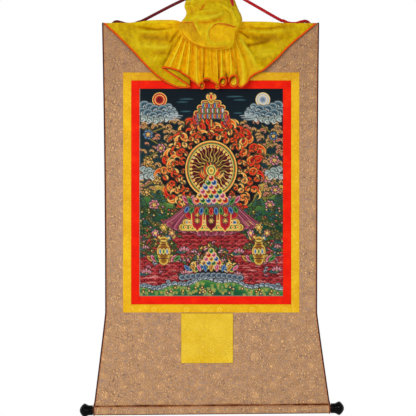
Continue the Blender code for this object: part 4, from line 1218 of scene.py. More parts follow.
def veil_bunch(silk):
    """The bunch as a sack of silk: an outer wall, an inner wall and an open gathered mouth."""
    x, drop, forward, relief, outer = bunch_surface()
    rings, around, _ = outer.shape
    wrapped = np.concatenate([outer[:, -1:], outer, outer[:, :1]], axis=1)
    inner = (outer - facing(wrapped)[:, 1:-1] * SILK_THICK)[:-1]
    outside = np.arange(rings * around).reshape(rings, around)
    inside = outside[:-1] + outside.size
    mouth = joined(outside[0], np.roll(outside[0], -1), np.roll(inside[0], -1), inside[0])
    blocks = [
        (wall_of(outside), 0),
        (wall_of(inside)[:, ::-1], 0),
        (mouth, 0),
        (outside[-1:], 0),
        (inside[-1:, ::-1], 0),
    ]
    # Painted light and shade on the bunch: deeper colour low down and painted shade in troughs and shaded
    # pockets, painted highlights on raised creases and a little all over, orange along the overlocked edge
    # and painted shade lines
    low = held((drop + 8 * MM) / (24 * MM))
    amber = np.clip(0.15 + 0.22 * low - relief / (9 * MM) + doubled_and_shaded_share(x, drop), 0, 1.2)
    marks = {
        "lay": joined(x, -drop, 0.0),
        "amber": np.where(forward > 0.1, amber, 0.5),
        "dusk": held(-relief / (4.2 * MM)) * (0.66 - 0.4 * low),
        "glow": 0.13 + held(relief / (4.2 * MM) - 0.1) * (0.65 - 0.2 * low),
        "rust": np.where(forward > 0, hem_and_shade_line_share(x, drop), 0),
    }
    both = {name: np.concatenate([values, values[:-1]]) for name, values in marks.items()}
    made = make_piece("veil_bunch", np.concatenate([outer, inner]), blocks, [silk], **both)
    return outer[:, forward[0] > 0.05], made


def on_surface(grid, line, lift):
    """A line of (out, drop) laid on the nearest points of a grid, lifted towards the viewer."""
    route = curve_through(line, 8) * MM
    x, z = route[:, 0] + CENTRE_LINE, TOP_EDGE - route[:, 1]
    flat = grid.reshape(-1, 3)
    away = np.hypot(flat[:, 0] - x[:, None], flat[:, 2] - z[:, None])
    near = np.argpartition(away, 4, axis=1)[:, :4]
    y = np.take(flat[:, 1], near).mean(axis=1)
    smooth = np.convolve(np.pad(y, 2, mode="edge"), np.ones(5) / 5, "valid")
    return joined(x, smooth - lift, z)


HEM_RADIUS = 2.6 * MM


def veil(silk, thread):
    """One cloth in two meshes, the fan and the bunch, with its overlocked edge."""
    fan_grid, marks = fan_surface()
    fan = cloth("veil_fan", fan_grid, SILK_THICK, [silk], **marks)
    bunch_grid, bunch = veil_bunch(silk)
    for name, path, radius, flatness in (
        ("veil_hem", even_points(fan_grid[-1], 1200), HEM_RADIUS, 0.7),
        ("curl_hem", even_points(on_surface(bunch_grid, CURL_HEM, 0.5 * MM), 120), 1.0 * MM, 0.8),
        ("pocket_hem", even_points(on_surface(bunch_grid, POCKET_HEM, 0.4 * MM), 100), 0.8 * MM, 0.8),
    ):
        swell = 1 + 0.12 * np.sin(run_length(path) / (0.9 * MM))
        from_end = np.minimum(np.arange(len(path)), np.arange(len(path))[::-1])
        thick = radius * swell * held(from_end / 4 + 0.25)
        made = tube(name, path, thick[:, None] * np.ones(10), 10, thread, squash=flatness)
    for made in (fan, bunch):
        dress(made, "veil", "veil_silk")


# ---- ribbon, roller and knobs
RIBBON_THICK = 1 * MM


def ribbon_loop(name, loop, width_way, finish):
    """A closed ribbon round a loop of points, its width along width_way and its edges a little thinner."""
    way = np.array(width_way, float)
    outward = unit(np.cross(np.roll(loop, -1, axis=0) - np.roll(loop, 1, axis=0), way))
    across = np.linspace(-0.5, 0.5, 9)
    body = np.clip(1 - (2 * np.abs(across)) ** 6, 0.25, 1) * RIBBON_THICK
    ring = np.concatenate([joined(across, body), joined(across[::-1], 0.0)])
    points = loop[:, None] + way * (ring[None, :, :1] * RIBBON_WIDE) + outward[:, None] * ring[None, :, 1:]
    index = np.arange(len(loop) * len(ring)).reshape(-1, len(ring))
    return make_piece(name, points, [(wall_of(np.concatenate([index, index[:1]]), False), 0)], [finish])


RIBBON_TAIL = table(
    "out forward rise half_width",
    (29, -24.8, 79, 4.2), (37, -31, 72, 4.2), (43, -39, 63, 4.1), (47.5, -41, 55, 4.0), (50.3, -41, 46, 3.6),
    (52.2, -40.5, 36, 1.9),
)


def tie_ribbon(finish):
    """A red ribbon round the bunch's neck, looped over the cord, knotted, with one free end."""
    angle = round_angles(96)
    cos, sin = np.cos(angle), np.sin(angle)
    neck = 0.6 * MM
    wave = 0.35 * MM * np.sin(7 * angle)
    round_neck = joined(neck + 22.5 * MM * cos, -15.0 * MM + 12.3 * MM * sin, TOP_EDGE + 79 * MM + wave)
    over_cord = joined(neck - 8 * MM + wave, 3.9 * MM + 5.9 * MM * cos, -7.2 * MM + 12.2 * MM * sin)
    run = curve_through(RIBBON_TAIL, 8) * MM
    share = np.linspace(-1, 1, 9)[None, :]
    x = run[:, :1] + share * run[:, 3:] + CENTRE_LINE
    y = run[:, 1:2] - RIBBON_THICK / 2 + 0.7 * MM * share**2
    for made in (
        ribbon_loop("ribbon_collar", round_neck, (0, 0, 1), finish),
        ribbon_loop("ribbon_sling", over_cord, (1, 0, 0), finish),
        cloth("ribbon_tail", joined(x, y, TOP_EDGE + run[:, 2:3]), 0.6 * MM, [finish]),
    ):
        dress(made, "tie_ribbon", "ribbon_red")


KNOB_PROFILE = table(
    "along radius",
    (0, 11.4), (0.8, 12.4), (2.5, 12.6), (3.8, 12.1), (4.6, 11.9), (5.6, 12.2), (8, 12.2), (10.2, 12.5),
    (12, 13.2), (14, 14.4), (16, 15.5), (18, 16.4), (19.6, 16.9), (20.8, 16.8), (21.6, 16.2), (22.3, 15.6),
    (23.2, 15.2), (24.6, 14.2), (26.2, 12.5), (28, 10.3), (29.6, 7.9), (30.8, 5.4), (31.6, 3.4), (31.9, 1.6),
)
TENON_RADIUS = 5 * MM
TENON_LENGTH = 16 * MM


def knobs(finish):
    """Turned knobs, one on each of the roller's tenons: neck bead, ball with a ring step, small end."""
    outside = curve_through(np.array(KNOB_PROFILE) * MM, 3)
    bore = [(TENON_LENGTH + GAP, TENON_RADIUS + GAP), (0, TENON_RADIUS + GAP)]
    profile = np.concatenate([bore, outside])
    reach = FOOT_HALF + SLEEVE_OUT + 1 * MM + GAP
    for name, side in (("knob_left", -1), ("knob_right", 1)):
        centre = (SKIRT_SWAY + side * reach, CREASE_DEEP, TOP_EDGE - ROLLER_DROP)
        dress(turned_piece(f"{name}_turned", profile, centre, side, 72, finish), name, "black_lacquer")


def wooden_rods(finish):
    for name in ("roller", "top_batten"):
        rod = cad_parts[name]
        rod.data.materials.clear()
        rod.data.materials.append(finish)


# ---- the painting
# A generic picture: a flaming jewel over a lotus throne, among clouds, flower scrolls, hills and water.

def bands(*rows):
    """Colour bands of a painted shape, from its edge inwards: rows of (millimetres, red, green, blue)."""
    return [(depth, tone(red, green, blue)) for depth, red, green, blue in rows]


SKY = bands((0, 9, 20, 28), (110, 14, 34, 42), (230, 34, 60, 60))
MIST = bands((0, 54, 88, 98))
NIGHT = bands((0, 30, 22, 26), (8, 20, 14, 20))
CLOUD = bands((0, 184, 194, 192), (1.6, 136, 154, 160), (4, 76, 104, 116), (8, 36, 62, 76))
CLOUD_PALE = bands((0, 206, 210, 200), (1.6, 162, 172, 166), (4, 110, 130, 124), (8, 66, 90, 88))
FLAME_RED = bands((0, 250, 170, 84), (1.1, 238, 84, 34), (2.4, 216, 32, 22), (6, 140, 12, 20))
FLAME_ORANGE = bands((0, 252, 220, 138), (1.4, 246, 158, 62), (2.8, 226, 78, 28), (6, 158, 22, 20))
FLAME_CREAM = bands((0, 254, 236, 160), (1.4, 250, 204, 104), (2.8, 238, 128, 44), (6, 190, 52, 26))
SCROLL = bands((0, 236, 200, 132), (1.3, 212, 164, 98), (2.6, 160, 102, 62), (5, 96, 52, 38))
SCROLL_PINK = bands((0, 236, 190, 150), (1.3, 214, 140, 104), (2.6, 166, 84, 68), (5, 104, 40, 42))
SCARF = bands((0, 214, 142, 150), (2.4, 172, 82, 102), (6, 138, 48, 72), (12, 90, 24, 44))
SCARF_DARK = bands((0, 184, 100, 112), (2.4, 138, 56, 76), (6, 106, 32, 52), (12, 70, 18, 36))
SCARF_RED = bands((0, 238, 132, 86), (1.6, 206, 60, 40), (4.5, 158, 28, 30), (9, 100, 14, 24))
PETAL = bands((0, 244, 214, 214), (1.4, 226, 140, 156), (3, 190, 70, 100), (5.5, 130, 34, 62))
PETAL_GOLD = bands((0, 248, 226, 150), (1.2, 228, 180, 84), (2.8, 172, 112, 40), (5, 104, 58, 24))
PETAL_BLUE = bands((0, 196, 216, 226), (1.2, 104, 148, 188), (2.8, 46, 88, 144), (5, 22, 44, 92))
PETAL_GREEN = bands((0, 196, 214, 140), (1.2, 106, 150, 70), (2.8, 46, 104, 56), (5, 20, 62, 42))
LEAF = bands((0, 150, 172, 88), (1.1, 70, 116, 60), (2.4, 26, 74, 50), (4, 12, 44, 34))
LEAF_TEAL = bands((0, 132, 170, 138), (1.1, 46, 110, 104), (2.4, 20, 72, 76), (4, 10, 42, 50))
LEAF_OLIVE = bands((0, 206, 190, 104), (1.1, 140, 128, 56), (2.4, 84, 82, 38), (4, 44, 48, 28))
WAVE = bands((0, 216, 118, 108), (1.2, 180, 50, 52), (3, 146, 32, 40), (6, 92, 18, 32))
WAVE_DEEP = bands((0, 196, 78, 74), (1.2, 158, 34, 38), (3, 118, 20, 30), (6, 74, 12, 26))
ROCK = bands((0, 196, 204, 206), (1.6, 128, 142, 150), (4, 74, 92, 108), (8, 36, 52, 68))
HILL_OCHRE = bands((0, 216, 184, 92), (5, 184, 150, 66), (24, 150, 124, 54), (60, 96, 96, 46))
HILL_GREEN = bands((0, 140, 160, 74), (5, 84, 118, 56), (26, 44, 92, 50), (70, 24, 62, 42))
BANK = bands((0, 120, 156, 72), (4, 56, 122, 58), (16, 26, 96, 54), (40, 14, 62, 46))
BROCADE_RED = bands((0, 236, 190, 96), (1.8, 190, 40, 44), (8, 150, 26, 44), (22, 96, 16, 36))
MAROON = bands((0, 132, 30, 44), (6, 92, 14, 30), (24, 54, 10, 22), (60, 34, 8, 18))
GOLD_LEAF = bands((0, 252, 232, 150), (1.4, 236, 196, 86), (3.5, 190, 138, 44), (7, 132, 84, 26))
PEARL = bands((0, 232, 228, 216), (2, 196, 196, 196), (5, 150, 160, 170), (9, 104, 122, 142))
CORAL = bands((0, 250, 156, 120), (1.2, 226, 80, 54), (3, 176, 34, 34), (6, 110, 18, 26))
FAR = 9.0  # further from a drawn line than this makes no difference
MARGIN = 3  # how far beside a shape its outline may reach


class Painting:
    """The painting on a grid of points, in millimetres: x from its middle to the right, y down from its top.

    Each point has a colour and its distances to the nearest dark and gold lines, so that the lines stay
    sharp between the points.
    """

    def __init__(self, columns, rows):
        self.x = np.linspace(-PICTURE_WIDTH / 2, PICTURE_WIDTH / 2, columns) / MM
        self.y = np.linspace(0, PICTURE_HEIGHT, rows) / MM
        self.colour = np.zeros((rows, columns, 3))
        self.lines = {"dark": np.full((rows, columns), FAR), "gold": np.full((rows, columns), FAR)}

    def lay(self, spot, away, paint, line="dark", wide=0.85):
        """Covers the points where away is negative with colour bands, and outlines them."""
        if not away.size:
            return
        depths, colours = zip(*paint)
        inside = -away
        fresh = joined(*[np.interp(inside, depths, channel) for channel in zip(*colours)])
        self.colour[spot] += (fresh - self.colour[spot]) * held(0.5 + inside / 1.4)[..., None]
        for kind, field in self.lines.items():
            field[spot] = np.maximum(field[spot], inside)
            if kind == line:
                field[spot] = np.minimum(field[spot], np.abs(away) - wide)

    def near(self, low, high):
        """The part of the grid between two corners, and its x and y."""
        columns = slice(*np.searchsorted(self.x, (low[0], high[0])))
        rows = slice(*np.searchsorted(self.y, (low[1], high[1])))
        return (rows, columns), self.x[None, columns], self.y[rows, None]

    def stroke(self, points, radii, paint, line="dark", wide=0.85):
        """A brush stroke along a line of points, with a radius at each."""
        points = np.asarray(points, float)
        radii = np.asarray(radii, float) * np.ones(len(points))
        reach = radii.max() + MARGIN
        spot, x, y = self.near(points.min(axis=0) - reach, points.max(axis=0) + reach)
        start, run = points[:-1], np.diff(points, axis=0)
        px, py = x[..., None] - start[:, 0], y[..., None] - start[:, 1]
        share = held((px * run[:, 0] + py * run[:, 1]) / np.maximum((run**2).sum(axis=1), 1e-9))
        away = np.hypot(px - share * run[:, 0], py - share * run[:, 1]) - radii[:-1] - share * np.diff(radii)
        self.lay(spot, away.min(axis=-1), paint, line, wide)

    def oval(self, x, y, wide, tall, paint, line="dark", width=0.85):
        reach = max(wide, tall) + MARGIN
        spot, gx, gy = self.near((x - reach, y - reach), (x + reach, y + reach))
        self.lay(spot, (np.hypot((gx - x) / wide, (gy - y) / tall) - 1) * min(wide, tall), paint, line, width)

    def below(self, edge, paint, line="dark"):
        """Everything under a line y = edge(x)."""
        self.lay((slice(None), slice(None)), edge(self.x)[None, :] - self.y[:, None], paint, line)

    def petal(self, x, y, heading, length, width, paint, line="dark", bend=0.0):
        share = np.linspace(0, 1, 8)
        radii = width * np.sin(np.pi * (0.14 + 0.86 * share)) ** 0.8 + 0.2
        self.stroke(curl(x, y, heading, length, bend, 8, 1.0), radii, paint, line)

    def tongue(self, x, y, heading, size, turn, paint, fat=0.19):
        """A flame or a leaf: broad at its root, curling to a point."""
        share = np.linspace(0, 1, 12)
        radii = size * fat * (1 - share) ** 0.7 * (0.55 + 0.45 * np.sin(np.pi * share**0.5)) + 0.5
        self.stroke(curl(x, y, heading, size, turn, 12, 1.4), radii, paint)

    def petals(self, x, y, half, dip, count, heading, lean, length, width, paints):
        """A row of petals, bowed by dip and leaning away from its middle."""
        for number in range(count):
            share = 2 * number / (count - 1) - 1
            spot = (x + half * share, y - dip * share**2)
            self.petal(*spot, heading - lean * share, length, width, paints[number % len(paints)])

    def blossom(self, x, y, size, paint, heart, petals=6, turn=0.0):
        for number in range(petals):
            self.petal(x, y, turn + 360 * number / petals, size, size * 0.36, paint, bend=20)
        self.oval(x, y, size * 0.3, size * 0.3, heart, "gold")

    def volute(self, x, y, size, side, paint):
        """A round lobe with a spiral drawn inside."""
        self.oval(x, y, size, size * 0.84, paint)
        path = curl(x - side * size * 0.55, y + size * 0.3, 90 - side * 5, size * 2.6, -side * 330, 16, 0.75)
        self.stroke(path, 0.7, bands((0, 226, 230, 224)), None)

    def heap(self, x, y, rows, size, paints):
        """Jewels in a pyramid, each ringed with gold and with a small light on it."""
        for row in range(rows):
            count = rows - row
            for number in range(count):
                jx, jy = x + (number - (count - 1) / 2) * size * 1.9, y - row * size * 1.5
                paint = paints[(2 * row + 3 * number) % len(paints)]
                self.oval(jx, jy, size, size * 1.08, paint, "gold", width=0.7)
                self.oval(jx - size * 0.3, jy - size * 0.35, size * 0.24, size * 0.2, PEARL, None)


def curl(x, y, heading, length, turn, steps, tighten):
    """A line from (x, y) along a heading in degrees, 90 up, that turns by a number of degrees on its way."""
    share = np.linspace(0, 1, steps)
    angle = np.radians(heading + turn * share**tighten)
    move = joined(np.cos(angle), -np.sin(angle)) * length / (steps - 1)
    return np.concatenate([[[0, 0]], np.cumsum(move[:-1], axis=0)]) + (x, y)


def pick(draw, *paints):
    return paints[draw.integers(len(paints))]


# Where things stand in the picture, in millimetres from its middle and from its top
MIST_BANKS = ((-60, 26, 34), (58, 20, 40), (-70, 33, 26), (70, 28, 30), (-62, 56, 26), (66, 60, 22))
TREES = ((-158, 262, 34), (-128, 276, 28), (146, 258, 36), (168, 282, 30), (116, 284, 24), (-172, 290, 26))
RING_Y = 200
ALMOND_Y = 196
FLAME_RINGS = table(
    "wide tall count size",
    (114, 113, 28, 40), (100, 100, 27, 37), (86, 89, 25, 30), (72, 78, 23, 23),
)
VASE = ((372, 12), (377, 7), (381, 6), (387, 12), (396, 17), (406, 14), (413, 8), (418, 12))
LOTUSES = (
    (-66, 392, 12), (68, 396, 12), (-158, 446, 12), (160, 440, 12), (-62, 448, 11), (64, 452, 11),
    (-160, 386, 9), (162, 384, 9),
)


def paint_sky_and_land(art):
    """A night sky with thin mist, an ochre plain and green hills with trees."""
    art.below(lambda x: -4 + 0 * x, SKY, None)
    thin = np.sin(np.linspace(0.3, 2.9, 8)) * 1.6
    for x, y, length in MIST_BANKS:
        art.stroke(curl(x - length / 2, y, 4, length, -8, 8, 1), thin, MIST, None)
    art.below(lambda x: 232 + 5 * np.sin(x / 13), HILL_OCHRE)
    art.below(lambda x: 296 - 0.22 * np.abs(x) + 6 * np.sin(x / 17 + 1), HILL_GREEN)
    for x, y, size in TREES:
        for tier in range(6):
            reach = size * (0.42 - 0.07 * tier)
            for share in np.linspace(-1, 1, 5):
                place = (x + reach * share * 0.8, y - tier * size * 0.17 + reach * 0.3 * share**2)
                art.petal(*place, 90 - 70 * share, reach * 0.8 + 3, 2.4, LEAF_TEAL if tier % 2 else LEAF)


def paint_shrubs(art, draw):
    """Leafy shrubs with berries and small flowers down both sides."""
    places = draw.uniform((-174, 292), (174, 410), (330, 2))
    for x, y in places[np.argsort(places[:, 1])]:
        if abs(x) < 88 + 16 * math.sin(y / 17) + 0.2 * abs(y - 340):
            continue
        paint = pick(draw, LEAF, LEAF_OLIVE, LEAF_TEAL, LEAF_OLIVE)
        for fan in (-70, -36, 0, 36, 70):
            art.petal(x, y, 90 + fan + draw.uniform(-12, 12), draw.uniform(7, 12), 2.3, paint)
        if draw.uniform() < 0.6:
            out = x + draw.uniform(-4, 4)
            art.oval(out, y - 6, 2.7, 2.4, pick(draw, CORAL, PETAL_GOLD, GOLD_LEAF, PETAL))


def paint_clouds(art):
    """Cloud banks in the upper corners with the sun and the moon, and small ones half-way down."""
    for side, disc in ((-1, CORAL), (1, PEARL)):
        art.oval(side * 126, 27, 17, 17, disc, "gold")
        art.oval(side * 126, 27, 11.5, 11.5, disc, "gold")
        for turn, paint, lobes in (
            (side, CLOUD, ((94, 52, 9), (104, 44, 10), (163, 40, 13), (150, 44, 12), (138, 50, 13))),
            (side, CLOUD, ((118, 50, 13), (88, 60, 8), (100, 60, 10), (168, 56, 12), (154, 60, 13))),
            (side, CLOUD, ((128, 62, 13), (112, 64, 10), (142, 66, 12))),
            (-side, CLOUD_PALE, ((122, 74, 8), (134, 77, 9), (150, 75, 10), (164, 72, 9), (108, 75, 6))),
            (side, CLOUD_PALE, ((166, 196, 9), (152, 200, 10), (138, 204, 8), (160, 210, 10), (146, 213, 9))),
            (side, CLOUD_PALE, ((172, 214, 8),)),
        ):
            for out, y, size in lobes:
                art.volute(side * out, y, size, turn, paint)
        for out, y, length in ((70, 66, 26), (74, 71, 30), (80, 76, 22)):
            path = curl(side * out, y, 0 if side > 0 else 180, length, side * 12, 8, 1)
            art.stroke(path, 0.5 + 1.6 * np.linspace(0, 1, 8), CLOUD, None)


def paint_scrolls(art, draw):
    """Flower scrolls on both sides: curled leaves from the clouds to the hills, and stems with blossoms."""
    places = draw.uniform((-176, 74), (176, 262), (430, 2))
    for x, y in places[np.argsort(places[:, 1])]:
        if (x / 116) ** 2 + ((y - 196) / 118) ** 2 > 1 and abs(x) > 70 + 0.0016 * (y - 150) ** 2:
            way = pick(draw, -1, 1)
            heading, size = 90 + way * draw.uniform(10, 60), draw.uniform(13, 24)
            turn = way * draw.uniform(170, 300)
            art.tongue(x, y, heading, size, turn, pick(draw, SCROLL, SCROLL, SCROLL_PINK), 0.18)
    stem = [(150, 300), (134, 268), (162, 240), (130, 212), (158, 176), (126, 148), (158, 116), (124, 94)]
    for side in (-1, 1):
        route = curve_through(np.array(stem) * [side, 1.0] + draw.uniform(-6, 6, (len(stem), 2)), 8)
        art.stroke(route, 1.8, LEAF_OLIVE)
        for number in range(4, len(route), 9):
            x, y = route[number]
            size = draw.uniform(10, 13)
            for share in (-1, 1):
                leaf = pick(draw, LEAF_OLIVE, LEAF_TEAL)
                art.tongue(x, y, 90 - share * 60, size * 1.9, share * 200, leaf, 0.18)
            art.blossom(x, y, size, pick(draw, PETAL, PETAL_GOLD, PETAL_BLUE), GOLD_LEAF, 7, 13 * number)
            art.blossom(x, y, size * 0.6, SCROLL, CORAL, 5, 40 + number)


def paint_aureole(art, draw):
    """A ring of flames, dark between them, round a maroon almond with gold rays."""
    for angle in np.radians(np.arange(0, 360, 12)):
        for reach, size in ((99, 25), (80, 24)):
            x, y = reach * math.cos(angle), RING_Y - reach * math.sin(angle)
            art.oval(x, y, size, size + 3 * math.sin(7 * angle), NIGHT, None)
    for ring, (wide, tall, count, size) in enumerate(FLAME_RINGS):
        for number in range(count):
            angle = 360 * (number + 0.5 * (ring % 2) + draw.uniform(-0.25, 0.25)) / count - 90
            cos, sin = math.cos(math.radians(angle)), math.sin(math.radians(angle))
            heading = angle + 0.45 * (90 - angle) + draw.uniform(-30, 30)
            grow = size * draw.uniform(0.7, 1.4)
            way = (1 if cos > 0 else -1) * pick(draw, -1, 1, 1)
            if sin < -0.93:
                continue
            for share, swing, bend in ((1, 0, 1), (0.66, 50, 1), (0.5, -60, -1)):
                paint = pick(draw, FLAME_RED, FLAME_RED, FLAME_ORANGE, FLAME_RED, FLAME_CREAM)
                turn = way * draw.uniform(130, 290) * bend
                x, y = wide * cos * 0.95, RING_Y - tall * sin
                art.tongue(x, y, heading - way * swing, grow * share, turn, paint, 0.165)
    art.oval(0, ALMOND_Y, 62, 68, FLAME_ORANGE, "gold")
    art.oval(0, ALMOND_Y, 58, 64, PETAL_GREEN)
    art.oval(0, ALMOND_Y, 54, 60, MAROON, "gold")
    for number in range(36):
        cos, sin = math.cos(math.radians(10 * number)), math.sin(math.radians(10 * number))
        ray = np.linspace(16, 46, 9)[:, None] * [cos, -1.12 * sin] + [0, ALMOND_Y]
        wave = 2.2 * (number % 2) * np.sin(np.linspace(0, 9, 9))[:, None] * [sin, cos]
        art.stroke(ray + wave, 0.3, bands((0, 196, 158, 70)), "gold" if number % 2 else None, 0.5)
        jewel = pick(draw, CORAL, GOLD_LEAF, PETAL_BLUE)
        art.oval(49 * cos, ALMOND_Y - 55 * sin, 2.4, 2.4, jewel, "gold")


def paint_drape(art, draw):
    """A mauve cloth spread in soft folds under the throne, with gold lines in it."""
    for number in sorted(range(-12, 13), key=lambda place: -abs(place)):
        foot = 352 - 0.16 * number**2 + draw.uniform(-3, 3)
        line = curve_through([(4.6 * number, 284, 5), (7.6 * number, 318, 8), (9.4 * number, foot, 7)], 6)
        art.stroke(line[:, :2], line[:, 2], SCARF if number % 2 else SCARF_DARK)
        kind = "gold" if number % 3 else None
        art.stroke(line[1:-1, :2] + [2.2, 0], 0.3, bands((0, 214, 150, 140)), kind, 0.45)


def paint_throne(art, draw):
    """Lotus seat on a draped and stepped base, with a heap of jewels under a great flaming one."""
    for y, half, tall, panel in ((338, 70, 9, PETAL_GREEN), (326, 62, 8, PETAL_BLUE)):
        art.stroke([(-half, y), (half, y)], tall, GOLD_LEAF)
        art.stroke([(-half + 4, y), (half - 4, y)], tall * 0.55, panel, "gold")
        for x in np.arange(-half + 8, half - 4, 11.5):
            art.oval(x, y, 3.4, 2.8, CORAL, "gold")
    art.stroke([(-52, 306), (52, 306)], 13, BROCADE_RED)
    for x, paint in ((-34, BROCADE_RED), (34, BROCADE_RED), (0, MAROON)):
        art.stroke([(x, 300), (x, 330), (x, 348)], [15, 13, 1], paint, "gold")
        for y in (306, 322):
            art.blossom(x, y, 7, PETAL_GOLD, CORAL, 6, x)
    art.petals(0, 292, 56, 3, 11, 270, -30, 16, 5.6, (PETAL_BLUE, PETAL_GREEN, CORAL))
    art.petals(0, 280, 58, 3, 13, 90, 38, 20, 5.6, (PETAL, PETAL_GOLD))
    art.petals(0, 284, 46, 3, 10, 90, 38, 18, 5.6, (PETAL_GREEN, PETAL, PETAL_BLUE))
    art.heap(0, 272, 6, 7.2, (CORAL, PETAL_BLUE, PETAL_GOLD, PETAL_GREEN, PETAL))
    art.stroke([(-54, 286), (54, 286)], 2.4, GOLD_LEAF)
    for x in np.arange(-54, 55, 4.5):
        art.oval(x, 286, 1.7, 1.7, PEARL)
    for number in range(15):
        share = 2 * number / 14 - 1
        paint = (FLAME_RED, FLAME_ORANGE, FLAME_CREAM)[number % 3]
        reach = draw.uniform(26, 36) - 10 * share**2
        turn = 100 * share + draw.uniform(-30, 50)
        art.tongue(17 * share, 206 + 12 * share**2, 90 - 66 * share, reach, turn, paint, 0.14)
    art.oval(0, 200, 11, 12.5, PETAL_GREEN, "gold")
    art.oval(0, 200, 6, 7.5, GOLD_LEAF, "gold")


def paint_parasol(art):
    """A tiered parasol over the flames, with streamers and small bells."""
    widths = np.interp(np.arange(16), [0, 8, 15], [3, 3.6, 0.6])
    for side in (-1, 1):
        for out, length, paint in ((38, 46, SCARF_RED), (33, 34, SCARF), (28, 24, PETAL_GREEN)):
            hang = np.array([(out, 0), (out + 5, 0.35), (out - 1, 0.7), (out + 6, 1)]) * [side, length]
            art.stroke(curve_through(hang + [0, 58], 5), widths, paint)
    art.stroke([(0, 40), (0, 92)], 1.8, GOLD_LEAF)
    for y, half, tall, paints in (
        (60, 36, 6, (CORAL, PETAL_BLUE, PETAL_GOLD)),
        (46, 28, 6, (PETAL_GREEN, CORAL, PEARL)),
        (34, 19, 5, (PETAL_BLUE, PETAL_GOLD, CORAL)),
    ):
        art.stroke([(-half, y), (half, y)], tall, BROCADE_RED, "gold")
        art.petals(0, y + 2, half, 0, half // 4 * 2 + 1, 270, 0, 12, 3.2, paints)
        art.stroke([(-half, y), (half, y)], 1.4, GOLD_LEAF)
    art.petal(0, 34, 90, 24, 9, GOLD_LEAF)
    art.petal(0, 26, 90, 14, 4, CORAL, "gold")
    for side in (-1, 1):
        art.tongue(side * 6, 26, 90 - side * 50, 20, side * 190, FLAME_CREAM, 0.16)


def paint_water(art, draw):
    """Crimson water: overlapping scallops, light streaks and curled crests."""
    art.below(lambda x: 346 + 5 * np.sin(x / 21 + 2) + 0.0019 * x**2, WAVE_DEEP)
    for row, y in enumerate(np.arange(358, 500, 5.2)):
        for x in np.arange(-178, 180, 17) + 8.5 * (row % 2):
            jitter, shift = draw.uniform(-1.4, 1.4, 2)
            paint = WAVE if draw.uniform() < 0.5 else WAVE_DEEP
            kind = "dark" if row % 2 else None
            art.oval(x + jitter, y + shift * 0.5 + 3, 10.5 + jitter, 4.8, paint, kind, 0.7)
    for x, y, size in draw.uniform((-170, 392, 10), (170, 480, 26), (60, 3)):
        art.stroke(curl(x, y, 6, size, -14, 6, 1), 0.5, bands((0, 232, 158, 150)), None)
    for x, y, way in draw.uniform((-168, 372, -1), (168, 478, 1), (60, 3)):
        side = 1 if way > 0 else -1
        paint = pick(draw, WAVE, SCARF, WAVE_DEEP, ROCK)
        art.tongue(x, y, 90 - side * 70, draw.uniform(12, 20), -side * draw.uniform(200, 300), paint, 0.16)


def paint_vases(art, draw):
    """Two offering vases with leaves, fruit and jewels, and lotuses in the water."""
    for x in (-116, 116):
        art.petals(x, 422, 26, 3, 9, 90, 52, 19, 5.2, (PETAL_GOLD, PETAL, PETAL_GREEN))
        for number in range(26):
            angle = draw.uniform(20, 160)
            reach = draw.uniform(12, 40)
            cos, sin = math.cos(math.radians(angle)), math.sin(math.radians(angle))
            paint = (LEAF, LEAF_TEAL, LEAF_OLIVE, PETAL_GOLD)[number % 4]
            heading, turn = angle + draw.uniform(-30, 30), draw.uniform(-160, 160)
            art.tongue(x + reach * cos, 374 - reach * 0.75 * sin, heading, 13, turn, paint, 0.2)
        for out, y, size, paint in (
            (-20, 352, 9, PETAL),
            (20, 352, 9, SCROLL_PINK),
            (0, 338, 10, PETAL_GOLD),
            (-11, 362, 7, CORAL),
            (12, 364, 7, PETAL_BLUE),
        ):
            art.blossom(x + out, y, size, paint, GOLD_LEAF, 6, out)
        outline = curve_through(VASE, 3)
        art.stroke(joined(x, outline[:, 0]), outline[:, 1], GOLD_LEAF)
        for y, half in ((380, 6), (388, 12), (404, 13), (414, 9)):
            art.stroke([(x - half, y), (x + half, y)], 0.6, CORAL, "dark", 0.7)
        for share in (-0.7, 0, 0.7):
            art.petal(x + 12 * share, 402, 90, 12, 3.2, PETAL_BLUE if share else PETAL_GREEN, "gold")
        art.oval(x, 371, 13, 2.6, GOLD_LEAF)
    for x, y, size in LOTUSES:
        art.oval(x - 7, y + 6, size * 1.1, size * 0.36, LEAF_TEAL)
        for share in (-1, 1, -0.55, 0.55, 0):
            length = size * (1.05 - 0.2 * abs(share))
            art.petal(x + size * 0.3 * share, y + 4, 90 - 64 * share, length, size * 0.24, PETAL)
        art.oval(x, y + 4, size * 0.35, 1.6, GOLD_LEAF)


def paint_offerings(art, draw):
    """A heap of coral, jewels and fruit on a small island before the throne."""
    art.oval(0, 424, 58, 34, NIGHT, None)
    for number in range(230):
        angle = math.radians(draw.uniform(8, 172))
        reach = 62 - 52 * number / 230
        x, y = 1.12 * reach * math.cos(angle), 442 - reach * 0.92 * math.sin(angle)
        paint = pick(draw, LEAF_OLIVE, PETAL_GOLD, LEAF, GOLD_LEAF, LEAF_TEAL, CORAL, PETAL)
        art.tongue(x, y, draw.uniform(20, 160), draw.uniform(8, 15), draw.uniform(-240, 240), paint)
    for x, y, rows in ((0, 434, 5), (-44, 440, 2), (44, 440, 2)):
        art.heap(x, y, rows, 6.4, (PETAL_BLUE, CORAL, PETAL_GOLD, PETAL_GREEN, PETAL))
    art.petals(0, 444, 54, 2, 9, 90, 46, 17, 4.6, (PETAL_BLUE, PETAL_GOLD, PETAL))
    for x in np.linspace(-70, 70, 12):
        art.oval(x, 455 + 0.0012 * x**2, 9.5, 7, ROCK)


